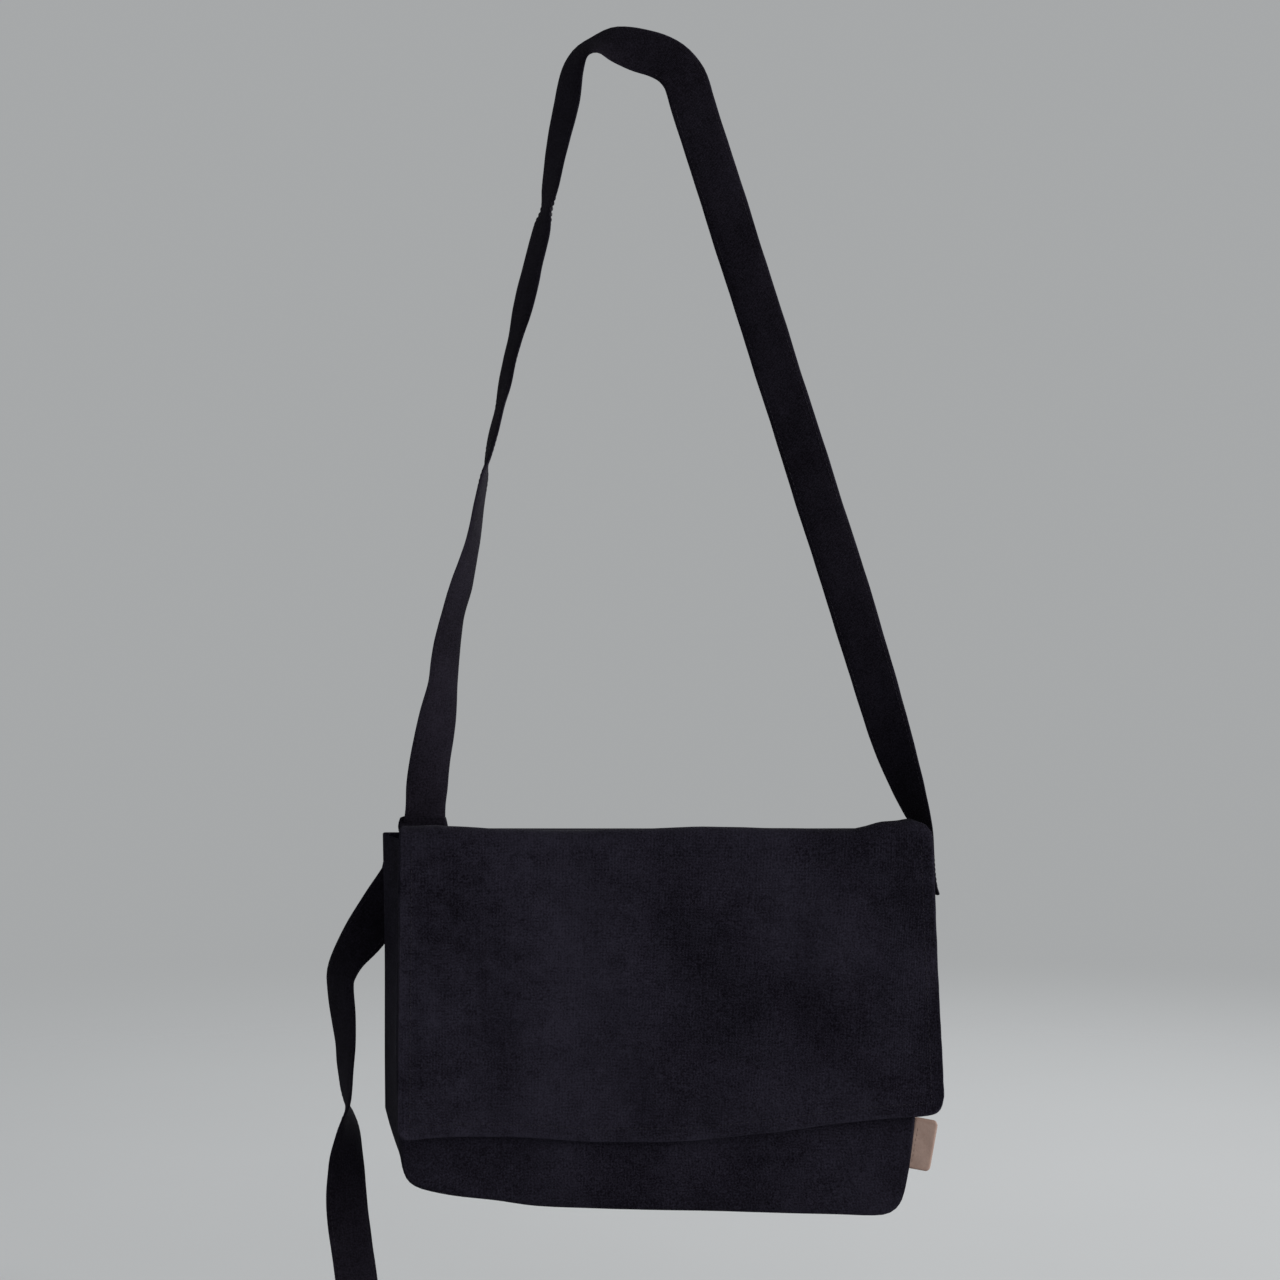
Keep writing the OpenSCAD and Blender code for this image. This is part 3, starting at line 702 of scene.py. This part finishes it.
def panel(which, inset=0.0, drop=0.0):
    """Rows and columns of a body panel. inset moves it inside the canvas and drop lowers its top."""
    left, right, base = (
        (FRONT_LEFT, FRONT_RIGHT, FRONT_BASE) if which == "front" else (BACK_LEFT, BACK_RIGHT, BACK_BASE)
    )
    u, v = np.meshgrid(U, V)
    x_low = base[0][0] + (base[-1][0] - base[0][0]) * u
    z_low = through(base, x_low) + inset
    z = (MOUTH_Z - drop) + (z_low - (MOUTH_Z - drop)) * v
    x = between(left, right, u, v, inset)
    near = np.minimum(np.minimum(u, 1 - u) * PANEL_W, z - z_low)
    curl, groove = edge_curl(near), 0.5 * (near < 0.01)
    if which == "front":
        y = front_y(x, z) + inset + curl + groove
    else:
        y = back_y(x, z) - inset - 0.5 * curl - groove
    return np.stack([x, y, z], axis=-1)


def border(p):
    """The panel's edge from its top left, down, along the bottom and up to its top right."""
    return np.vstack([p[:, 0], p[-1, 1:-1], p[::-1, -1]])


def gusset_band(front, back, across):
    """The band between the two panels. Rows run from front to back and columns along the band."""
    f, b = border(front), border(back)
    middle = (f + b) / 2
    run = unit(np.gradient(middle, axis=0))
    out = unit(np.cross(run, np.array([0.0, -1.0, 0.0])))
    if (out * (middle - CENTRE)).sum() < 0:
        out = -out
    rows = len(front)
    depth = MOUTH_Z - middle[:, 2]
    index = np.arange(len(f))
    fade = smooth_steps(depth, 195, 150)
    made = []
    for w in across:
        left = bow("left", depth, w) * (index < rows)
        right = bow("right", depth, w) * (index >= len(f) - rows)
        base = 1.6 * math.sin(math.pi * w) * (1 - fade) * waves(middle[:, 0], 40 * w, 70, 6)
        ridge = 0.5 * math.exp(-((min(w, 1 - w) - 0.03) / 0.02) ** 2)
        off = (left + right) * fade + base + ridge
        line = f + (b - f) * w + out * off[:, None]
        line[:, 2] -= mouth_sag(line[:, 0], depth, w)
        made.append(line)
    return np.stack(made)


def metre_uv(p):
    """Cloth coordinates from distances over the surface itself, along rows and down columns."""
    u = np.concatenate([[0], np.cumsum(np.linalg.norm(np.diff(p, axis=1), axis=2).mean(0))])
    v = np.concatenate([[0], np.cumsum(np.linalg.norm(np.diff(p, axis=0), axis=2).mean(1))])
    return np.stack(np.meshgrid(u, v), axis=-1)


def edge_wear(p, amount, top=1.0):
    rows, cols = p.shape[:2]
    wear_and_painted_light = np.zeros((rows, cols))
    wear_and_painted_light[:, :2] = wear_and_painted_light[:, -2:] = wear_and_painted_light[-2:, :] = amount
    wear_and_painted_light[:1, :] = amount * top
    return wear_and_painted_light


ACROSS_BAND = np.array([0, 0.03, 0.07, 0.14, 0.22, 0.32, 0.42, 0.5, 0.58, 0.68, 0.78, 0.86, 0.93, 0.97, 1.0])


def make_body():
    shell = panel("front"), panel("back")
    inset, drop = CANVAS_T + 0.3, 17.0
    lining = panel("front", inset, drop), panel("back", inset, drop)
    sides = ["gusset_left", "gusset_right", "bottom_panel"]
    canvas, cotton = (CANVAS_T, CANVAS, "canvas"), (LINING_T, LINING, "lining")
    for name, p, wear, (thick, material, slot), nodes, flat in (
        ("front_cloth", shell[0], 0.15, canvas, ["front_panel"], (0.300, 0.200)),
        ("back_cloth", shell[1], 0.15, canvas, ["back_panel"], (0.300, 0.200)),
        ("gusset_cloth", gusset_band(*shell, ACROSS_BAND), 0.15, canvas, sides, (0.640, 0.054)),
        ("lining_front_cloth", lining[0], 0.1, cotton, ["lining_front"], (0.290, 0.182)),
        ("lining_back_cloth", lining[1], 0.1, cotton, ["lining_back"], (0.290, 0.182)),
        ("lining_gusset_cloth", gusset_band(*lining, ACROSS_BAND), 0.0, cotton, ["lining_gusset"], (0.605, 0.050)),
    ):
        uv = metre_uv(p)[..., ::-1] if "gusset" in name else metre_uv(p)
        o = cloth(name, p, thick, uv, edge_wear(p, wear), material)
        tell(o, slot, *nodes, body="bag")


make_body()


def ring_at(depth, inset, panel_depth=183):
    """Loop round the mouth at a depth below it, inside the canvas."""
    v = depth / panel_depth
    w = np.linspace(0, 1, 12)[1:-1]
    u = np.linspace(0, 1, 56)
    z = MOUTH_Z - depth
    front_x = between(FRONT_LEFT, FRONT_RIGHT, u, v, inset)
    back_x = between(BACK_LEFT, BACK_RIGHT, u, v, inset)
    curl = edge_curl(np.minimum(u, 1 - u) * PANEL_W)
    front = np.stack([front_x, front_y(front_x, z) + inset + curl, np.full_like(u, z)], -1)
    back = np.stack([back_x, back_y(back_x, z) - inset - 0.5 * curl, np.full_like(u, z)], -1)
    right = front[-1] + (back[-1] - front[-1]) * w[:, None]
    right[:, 0] += bow("right", depth, w)
    left = back[0] + (front[0] - back[0]) * w[:, None]
    left[:, 0] -= bow("left", depth, 1 - w)
    for line in (left, right):
        line[:, 2] -= [mouth_sag(line[0, 0], depth, share) for share in w]
    return np.vstack([front, right, back[::-1], left])


def make_hem():
    depths = (0.3, 1.5, 5, 9, 13, 16.5, 18)
    p = np.stack([ring_at(d, CANVAS_T + 0.15) for d in depths])
    o = cloth("mouth_hem_cloth", p, 1.0, metre_uv(p), 0.15, CANVAS, wrap=True)
    row_depth = 15.5
    inner = ring_at(row_depth, CANVAS_T + 1.2)
    inward = unit(np.array([6.0, -24.0, MOUTH_Z - row_depth]) - inner)
    inward[:, 0] *= 0.15
    rows = join_rows("stitching_hem", [(inner, inward)], THREAD)
    tell(o, "canvas", "hem_front", "hem_back", "hem_left", "hem_right", body="bag")
    tell(rows, "thread", body="bag")


make_hem()


def make_mouth_row():
    x = np.linspace(-125, 151, 150)
    z = np.full_like(x, MOUTH_Z - 16.6)
    p = np.stack([x, front_y(x, z), z], -1)
    o = join_rows("stitching_mouth_row", [(p, TO_FRONT)], THREAD)
    tell(o, "thread", "stitching_mouth", body="bag")


make_mouth_row()


def make_pocket():
    lo, hi = low("slip_pocket"), high("slip_pocket")
    width, height = hi[0] - lo[0], hi[2] - lo[2]
    u, v = np.meshgrid(ends_fine(22, width), ends_fine(16, height))
    corner_r, hem_h = 12.0, 14
    lift = edge_curl(np.minimum(u, 1 - u) * width, corner_r)
    x = lo[0] + width * u
    z = hi[2] - (height - lift) * v
    puff = np.sin(math.pi * u) ** 0.5 * (1 - smooth_steps(v, 0.45, 1.0)) + 0.25 * np.sin(math.pi * u) * (1 - v)
    y = back_y(x, z) - (CANVAS_T + LINING_T + 0.9) - 0.8 - 4.2 * puff
    p = np.stack([x, y, z], -1)
    thick = 0.8 + 0.8 * (v * height < hem_h)
    o = cloth("slip_pocket_cloth", p, thick, metre_uv(p), edge_wear(p, 0.3), LINING, centre=(6, 60, -500))
    rows = []
    for depth in (1.6, 12.4):
        row = np.array([
            [np.interp(depth / height, v[:, c], p[:, c, k]) for k in range(3)] for c in range(2, p.shape[1] - 2)
        ])
        rows.append((row, TO_FRONT))
    edge = np.vstack([p[2:, 2], p[-3, 3:-3], p[:1:-1, -3]])
    rows.append((edge, TO_FRONT))
    seams = join_rows("stitching_pocket", rows, THREAD, radius=0.22)
    tell(o, "lining", "slip_pocket", "pocket_hem", body="bag")
    tell(seams, "thread", body="bag")


make_pocket()

# ---- Flap ----

# Height of the flap's front fold and of its lower edge, by x
FLAP_TOP = [
    (-128, -417.2), (-105, -416.8), (-48, -419.3), (32, -417.2), (85, -418.2), (112, -418.0), (119, -417.3),
    (125, -415.6), (131, -414.2), (140, -413.5), (146, -412.3), (151, -413.4), (156.5, -416.6),
]
FLAP_BASE = [
    (-128, -575), (-127, -578.6), (-124.2, -580.4), (-117, -580), (-98, -578.8), (-64, -579), (-20, -581.4),
    (31, -580.4), (65, -576.6), (98, -572.6), (132, -569), (150, -568), (157, -566.7), (160, -563.9), (161.3, -559.5),
]
FLAP_LEFT, NECK_RIGHT = -128.2, high("flap_top")[0] - 17.0
FOLD_RIGHT, BASE_RIGHT = 156.3, 161.3
SPLIT_Y = -22  # where the flap's back piece meets its front piece
FLAP_T = CANVAS_T + FACING_T
HEM = 5  # columns and rows of the flap that its folded hem takes up
COLUMNS = ends_fine(46, 286)
FRONT_SHARES = ends_fine(34, 150)


def flap_front_edge(v):
    return through([(0, FOLD_RIGHT), (0.25, 157.4), (0.6, 159.3), (0.9, 160.8), (1, BASE_RIGHT)], v)


def narrowed(x, limit, keep=0.9):
    """Squeezes the right end of a row of x values so that it ends at limit."""
    start = x[..., 0] + (x[..., -1] - x[..., 0]) * keep
    share = np.clip((x - start[..., None]) / (x[..., -1:] - start[..., None]), 0, 1)
    return np.where(share > 0, start[..., None] + (limit[..., None] - start[..., None]) * share, x)


def keeper_ridge(x):
    """The strap's held end lifts the cloth over it a little."""
    return 0.55 * smooth_steps(x, -136, -131) * (1 - smooth_steps(x, -109.5, -106.5))


def flap_rows():
    """The flap's outer surface from the strip on the back, over the mouth and down the front.
    Returns its points and the row where the back piece meets the front piece."""
    u = COLUMNS
    x_top = FLAP_LEFT + (FOLD_RIGHT - FLAP_LEFT) * u
    back = [(1.45, -15.5), (1.5, -11), (1.5, -7), (1.45, -3.5), (1.2, -0.8), (0.4, 1.5), (-1.2, 2.7), (-3.6, 3.1)]
    lid = [(-8, 3.0), (-14, 2.6), (-20, 2.4), (SPLIT_Y, 2.4), (-26, 2.5), (-31, 2.9), (-35.5, 3.4)]
    fold = [(-39.5, 3.9), (-43, 3.8), (-46, 2.8), (-48.3, 1.0), (-49.7, -1.5), (-50.3, -4.5), (-50.5, -8)]
    rows, split = [], None
    for y, z in back + lid + fold:
        share = smooth_steps(-y, 6, 42)
        sag = -1.6 * math.exp(-(((y + 22) / 12) ** 2)) * np.sin(math.pi * u) ** 0.6
        sway = 0.35 * waves(x_top, y, 60, 8) * smooth_steps(-y, 2, 12)
        limit = NECK_RIGHT + (FOLD_RIGHT - NECK_RIGHT) * smooth_steps(-y, 40.5, 48.0)
        x = narrowed(x_top[None], np.array([limit]))[0]
        rise = through(FLAP_TOP, x) - (MOUTH_Z + 3)
        sag = sag + keeper_ridge(x) * smooth_steps(-y, 2, 10)
        if y == SPLIT_Y:
            split = len(rows)
        rows.append(np.stack([x, np.full_like(x, y), MOUTH_Z + z + rise * share + sag + sway], -1))
    bottom_x = FLAP_LEFT + 0.2 + (BASE_RIGHT - FLAP_LEFT - 0.2) * u
    base = through(FLAP_BASE, bottom_x)
    start = rows[-1]
    for v in FRONT_SHARES[1:]:
        x = FLAP_LEFT + (flap_front_edge(v) - FLAP_LEFT) * u
        z = start[:, 2] + (base - start[:, 2]) * v
        at_left = 2.6 * np.exp(-(x + 128) / 48) * smooth_steps(v, 0, 0.5)
        at_right = 1.3 * smooth_steps(x, 30, 120) * v**2 * (1 - 0.5 * smooth_steps(x, 130, 160))
        stand = 0.5 + 2.4 * v**2.5 + at_left + at_right
        folds = 1.35 * waves(x, 0.55 * z, 82, 3) + 0.45 * waves(x, z, 33, 5)
        dip = 1.5 * np.exp(-(((x - 84) / 26) ** 2) - ((v - 0.13) / 0.12) ** 2)
        settle = smooth_steps(v, 0, 0.16)
        y_front = front_y(x, z) - FLAP_T - 1.2 - stand - np.maximum(folds + 0.5, 0) * settle + dip * settle * 0.6
        y = y_front * settle + (start[:, 1] + (y_front - start[:, 1]) * 0.2) * (1 - settle)
        y = y - keeper_ridge(x) * (1 - smooth_steps(v, 0, 0.14))
        rows.append(np.stack([x, y, z], -1))
    return np.stack(rows), split


def make_flap():
    p, split = flap_rows()
    uv = metre_uv(p)
    rows, cols = p.shape[:2]
    n = surface_normals(p, CENTRE)
    hem = np.zeros((rows, cols), bool)
    hem[:, :HEM] = hem[:, -HEM:] = hem[-HEM:, :] = True
    thick = np.where(hem, FLAP_T, CANVAS_T + 0.02)
    wear_and_painted_light = edge_wear(p, 0.2, 0.1)
    fold = np.exp(-(((p[..., 1] + 47.5) / 2.2) ** 2)) * (p[..., 2] > MOUTH_Z - 6)
    wear_and_painted_light = np.maximum(wear_and_painted_light, 0.06 * fold)
    # Painted light: the flap is made lighter towards its left side, as if more light fell there. The edge and fold
    # values above are real wear.
    wear_and_painted_light = wear_and_painted_light + 0.30 * (1 - smooth_steps(p[..., 0], -95, 45))
    face = p - n * (CANVAS_T + 0.06)
    front_of_lid = (0, -0.039, (MOUTH_Z + 3.6) * MM)
    low_fold = (0, -0.0503, (MOUTH_Z - 9) * MM)
    back_of_lid = (0, -0.014, (MOUTH_Z + 2.6) * MM)
    strip_top = (0, 0.0012, (MOUTH_Z - 1.0) * MM)
    parts = (
        ("back", slice(0, split + 1), ("bag", "flap_lid"), strip_top, back_of_lid, ("bottom",),
         ["flap_seam_strip"], ["flap_top_facing"], (0.276, 0.041)),
        ("front", slice(split, rows), ("flap_lid", "flap_drop"), front_of_lid, low_fold, ("top",),
         ["flap_top", "flap_front"], ["flap_front_facing"], (0.288, 0.193)),
    )
    for name, cut, bodies, start, end, square, nodes, facing_nodes, flat in parts:
        outer = cloth(f"flap_{name}_cloth", p[cut], thick[cut], uv[cut], wear_and_painted_light[cut], CANVAS, square=square)
        inner_cut = (slice(max(cut.start, 1), min(cut.stop, rows - HEM)), slice(HEM, cols - HEM))
        inner = cloth(
            f"flap_{name}_facing_cloth", face[inner_cut], FACING_T - 0.1, uv[inner_cut], 0.1, LINING, square=square
        )
        for o in (outer, inner):
            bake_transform(o)
        tell(outer, "canvas", *nodes)
        tell(inner, "lining", *facing_nodes)
    first, last = split + 12, -HEM - 1

    def round_hem(grid):
        return np.vstack([grid[first:-HEM, HEM], grid[last, HEM + 1:last], grid[last:first - 1:-1, last]])

    edge = join_rows("stitching_flap_row", [(round_hem(p), round_hem(n))], THREAD)
    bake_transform(edge)
    tell(edge, "thread", "stitching_flap_edge")
    strip = [(p[i, 3:-3], n[i, 3:-3]) for i in (1, 3)]
    seam = join_rows("stitching_back_strip", strip, THREAD)
    tell(seam, "thread", "stitching_flap_seam", body="bag")


make_flap()

# ---- Keeper, knot and the stitches that hold the strap ----


def rounded_loop(half_x, half_y, r, steps=6):
    pts = []
    for k, (sx, sy) in enumerate(((1, 1), (-1, 1), (-1, -1), (1, -1))):
        for i in range(steps + 1):
            a = math.pi / 2 * (k + i / steps)
            pts.append((sx * (half_x - r) + r * math.cos(a), sy * (half_y - r) + r * math.sin(a)))
    return np.array(pts)


def make_keeper():
    lo, hi = low("keeper_loop"), high("keeper_loop")
    middle, top = (lo + hi) / 2, hi[2]
    height = 9.5
    loop = rounded_loop((hi[0] - lo[0]) / 2 - 1.0, (hi[1] - lo[1]) / 2, 1.6)
    loop = np.vstack([
        loop[i] + (loop[(i + 1) % len(loop)] - loop[i]) * s for i in range(len(loop)) for s in (0, 0.33, 0.67)
    ])
    rows = []
    for share in (0, 0.08, 0.25, 0.5, 0.75, 0.92, 1):
        swell = 0.25 * math.sin(math.pi * share)
        z = top - height * share + 0.35 * waves(loop[:, 0], loop[:, 1], 26, 9)
        out = unit(loop)
        narrow = 1.6 * (1 - share) * smooth_steps(loop[:, 0], 0, 14)
        bump = 0.9 * math.sin(math.pi * share) * smooth_steps(-loop[:, 0], 8, 14)
        rows.append(np.stack([
            middle[0] + loop[:, 0] + out[:, 0] * swell - narrow - bump,
            middle[1] + loop[:, 1] + out[:, 1] * swell * 0.5, z
        ], -1))
    p = np.stack(rows)
    band = cloth("keeper_band", p, CANVAS_T, metre_uv(p), 0.05, SHADED_STRAP, centre=(*middle[:2], top - 5), wrap=True)
    width = (hi[0] - lo[0]) - 2.0
    u, v = np.meshgrid(ends_fine(10, width, (0.7, 1.6, 3)), np.linspace(0, 1, 12))
    x = middle[0] + (u - 0.5) * width
    z = (top - height * 0.55) + (lo[2] + 0.3 - (top - height * 0.55)) * v
    z += 1.2 * v * (np.abs(2 * u - 1) ** 6)
    y = lo[1] + CANVAS_T + 0.15 * waves(x, z, 17, 3)
    q = np.stack([x, y, z], -1)
    tab = cloth("keeper_tab", q, CANVAS_T, metre_uv(q), edge_wear(q, 0.4), SHADED_STRAP, centre=(middle[0], -30, z.mean()))
    face_y = lo[1] + CANVAS_T + 0.25
    lines = boxed(width / 2 - 2.2, MOUTH_Z - 3.0, lo[2] + 2.6)
    rows = [([(middle[0] + a, face_y, b) for a, b in line], (0, 1.0, 0)) for line in lines]
    seams = join_rows("stitching_keeper_box", rows, THREAD, pitch=2.6, length=1.9)
    tell(band, "strap", "keeper_loop", body="bag")
    tell(tab, "strap", body="bag")
    tell(seams, "thread", "stitching_keeper", body="bag")


make_keeper()


def make_knot():
    """The knot is a puffed lump of strap with two turns laid slantwise round it."""
    lo, hi = low("strap_knot"), high("strap_knot")
    middle, half = (lo + hi) / 2, (hi - lo) / 2
    rows, cols = 34, 56
    v, u = np.meshgrid(np.linspace(0.02, 0.98, rows), np.linspace(0, 2 * math.pi, cols, endpoint=False), indexing="ij")
    lat = (v - 0.5) * math.pi
    spread = np.cos(lat) ** 0.45
    x = np.sign(np.cos(u)) * np.abs(np.cos(u)) ** 0.8 * spread
    y = np.sign(np.sin(u)) * np.abs(np.sin(u)) ** 0.7 * spread
    z = np.sign(lat) * np.abs(np.sin(lat)) ** 0.75
    slant = z + 0.42 * x * np.sign(y)
    groove = np.exp(-(((slant - 0.12) / 0.10) ** 2)) + 0.7 * np.exp(-(((slant + 0.62) / 0.09) ** 2))
    folds = 0.05 * waves(30 * x, 16 * z, 9, 2)
    size = 0.96 - 0.16 * groove + folds
    p = middle + np.stack([x * half[0] * size, y * half[1] * (size - 0.02), z * half[2] * 0.98 * size], -1)
    points = np.vstack([p.reshape(-1, 3), [p[0].mean(0)], [p[-1].mean(0)]])
    faces = quads(rows, cols, True)
    for c in range(cols):
        d = (c + 1) % cols
        faces.append((rows * cols, d, c))
        faces.append((rows * cols + 1, (rows - 1) * cols + c, (rows - 1) * cols + d))
    uv = np.vstack([np.stack([u * 9, v * 30], -1).reshape(-1, 2), [[0, 0], [0, 30]]])
    # The knot's colour is lighter on its raised parts and darker in its grooves.
    wear = np.concatenate([(0.25 * (1 - groove)).clip(0, 1).reshape(-1), [0, 0]])
    o = make_mesh("strap_knot_cloth", points, faces, uv, wear, SHADED_STRAP)
    tell(o, "strap", "strap_knot", body="bag")


make_knot()


def make_strap_end_row():
    """A box of stitches with a cross holds the strap's sewn end to the gusset."""
    top, bottom, half = MOUTH_Z - 4, MOUTH_Z - 25.5, 8.5
    face_x = [(bottom, 161.4), (MOUTH_Z - 19, 160.6), (MOUTH_Z - 10, 160.0), (top, 159.1)]
    zs, xs = zip(*face_x)
    rows = []
    for line in boxed(half, top, bottom):
        pts = []
        for (a, b), (c, d) in zip(line[:-1], line[1:]):
            for s in np.linspace(0, 1, 12):
                z = b + (d - b) * s
                pts.append((np.interp(z, zs, xs), STRAP_Y + a + (c - a) * s, z))
        rows.append((pts, (1.0, 0, 0)))
    o = join_rows("stitching_strap_box", rows, THREAD, pitch=2.6, length=1.9, radius=0.22)
    tell(o, "thread", "stitching_strap_end", body="bag")


make_strap_end_row()


def make_tag():
    """Leather folded over at its outer edge, sewn into the side seam by its two ends."""
    lo, hi = low("leather_tag"), high("leather_tag")
    root = np.array([lo[0] - 1.7, (lo[1] + hi[1]) / 2, (lo[2] + hi[2]) / 2])
    lean = math.radians(10.0)
    out_to, half_h, leaf, corner_r, row_in = 12.8, 13.3, 1.15, 2.6, 2.6
    reach = np.array([0, 1.5, 3, 5.5, 8.5, 10.5, 11.5])
    turn = np.radians(np.linspace(-90, 90, 7))
    outer = [(a, -leaf) for a in reach] + [(11.6 + leaf * math.cos(t), leaf * math.sin(t)) for t in turn[1:-1]]
    outer += [(a, leaf) for a in reach[::-1]]
    outer = np.array(outer)
    height = np.array([0, 0.03, 0.08, 0.16, 0.3, 0.5, 0.7, 0.84, 0.92, 0.97, 1.0]) * 2 - 1

    def leaned(a, h):
        return a * math.cos(lean) + h * math.sin(lean), h * math.cos(lean) - a * math.sin(lean)

    rows = []
    for a, b in outer:
        corner = corner_r - math.sqrt(max(corner_r**2 - max(a - (out_to - corner_r), 0) ** 2, 0))
        h = height * (half_h - corner)
        bend = 0.5 * (a / out_to) ** 2
        along, up = leaned(a, h)
        rows.append(root + np.stack([along, b - bend + 0 * h, up], -1))
    p = np.stack(rows)
    uv = metre_uv(p)
    wear = np.zeros(p.shape[:2])
    wear[:, :2] = wear[:, -2:] = 0.9
    wear[6:13, :] = 0.45
    o = cloth("leather_tag_fold", p, leaf - 0.12, uv, wear, LEATHER, centre=root + np.array([4.0, 0, 0]))
    rows = []
    for side in (-1, 1):
        pts = []
        for h in np.linspace(-half_h + row_in, half_h - row_in, 10):
            along, up = leaned(row_in, h)
            pts.append(root + np.array([along, side * leaf - 0.02, up]))
        rows.append((pts, (0, side, 0)))
    seams = join_rows("stitching_tag_row", rows, TAG_THREAD, pitch=2.8, length=2.0, radius=0.24)
    for piece in (o, seams):
        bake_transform(piece)
    tell(o, "leather", "leather_tag")
    tell(seams, "thread", "stitching_tag")


make_tag()

# ---- Floor and light ----


def make_floor():
    """A pale disc that fades away towards its rim, so no edge shows."""
    steps, radii = 96, (1.0, 3.0, 9.0)
    points, faces = [(0.0, 0.0, 0.0)], []
    turns = [2 * math.pi * k / steps for k in range(steps)]
    for r in radii:
        points += [(r * math.cos(t), r * math.sin(t), 0) for t in turns]
    for k in range(steps):
        j = (k + 1) % steps
        faces.append((0, 1 + k, 1 + j))
        for ring in range(len(radii) - 1):
            a, b = 1 + ring * steps, 1 + (ring + 1) * steps
            faces.append((a + k, b + k, b + j, a + j))
    mesh = bpy.data.meshes.new("floor")
    mesh.from_pydata(points, [], faces)
    floor = bpy.data.objects.new("floor", mesh)
    floor.location = (0, 0, CAD_BOX[0].z - 0.035)
    bpy.context.scene.collection.objects.link(floor)
    m = Nodes("floor_paint")
    paint = m.mix(m.noise(m.place(), 3.0, 2.0), (0.60, 0.61, 0.615, 1), (0.63, 0.64, 0.645, 1))
    m.set("Base Color", paint)
    m.set("Roughness", 0.9)
    m.set("Specular IOR Level", 0.1)
    away = m.tree.nodes.new("ShaderNodeVectorMath")
    away.operation = "LENGTH"
    m.put(m.place(), away.inputs[0])
    fade = m.span(away.outputs["Value"], 0.5, 2.3, 0, 1)
    smooth = m.times(m.times(fade, fade), m.math("SUBTRACT", 3.0, m.times(fade, 2.0)))
    clear = m.tree.nodes.new("ShaderNodeBsdfTransparent")
    both = m.tree.nodes.new("ShaderNodeMixShader")
    m.put(smooth, both.inputs[0])
    m.put(m.shader.outputs[0], both.inputs[1])
    m.put(clear.outputs[0], both.inputs[2])
    m.tree.links.new(both.outputs[0], m.tree.nodes["Material Output"].inputs[0])
    mesh.materials.append(m.material)


def add_light(name, place, aim, size, watts, colour):
    data = bpy.data.lights.new(name, "AREA")
    data.shape, data.size, data.size_y = "RECTANGLE", size[0], size[1]
    data.energy, data.color = watts, colour
    light = bpy.data.objects.new(name, data)
    light.location = place
    direction = np.array(aim, float) - np.array(place, float)
    yaw = math.atan2(direction[1], direction[0]) - math.pi / 2
    pitch = math.atan2(direction[2], math.hypot(direction[0], direction[1]))
    light.rotation_euler = (math.pi / 2 + pitch, 0, yaw)
    bpy.context.scene.collection.objects.link(light)


def make_light():
    add_light("window", (5.0, -2.1, 0.5), (0, 0, -0.4), (2.4, 3.4), 370, (1.0, 0.985, 0.97))
    add_light("front_fill", (0.9, -3.0, 0.3), (0, 0, -0.5), (1.8, 1.8), 10, (0.95, 0.97, 1.0))
    add_light("back_fill", (1.4, 3.6, 0.9), (0, 0, -0.35), (2.4, 2.0), 65, (0.97, 0.98, 1.0))
    world = bpy.data.worlds.new("world")
    bpy.context.scene.world = world
    world.use_nodes = True
    colour, strength = world.node_tree.nodes["Background"].inputs[:2]
    colour.default_value, strength.default_value = (0.80, 0.82, 0.83, 1), 0.48
    bpy.context.scene.view_settings.view_transform = "Standard"


make_floor()
make_light()
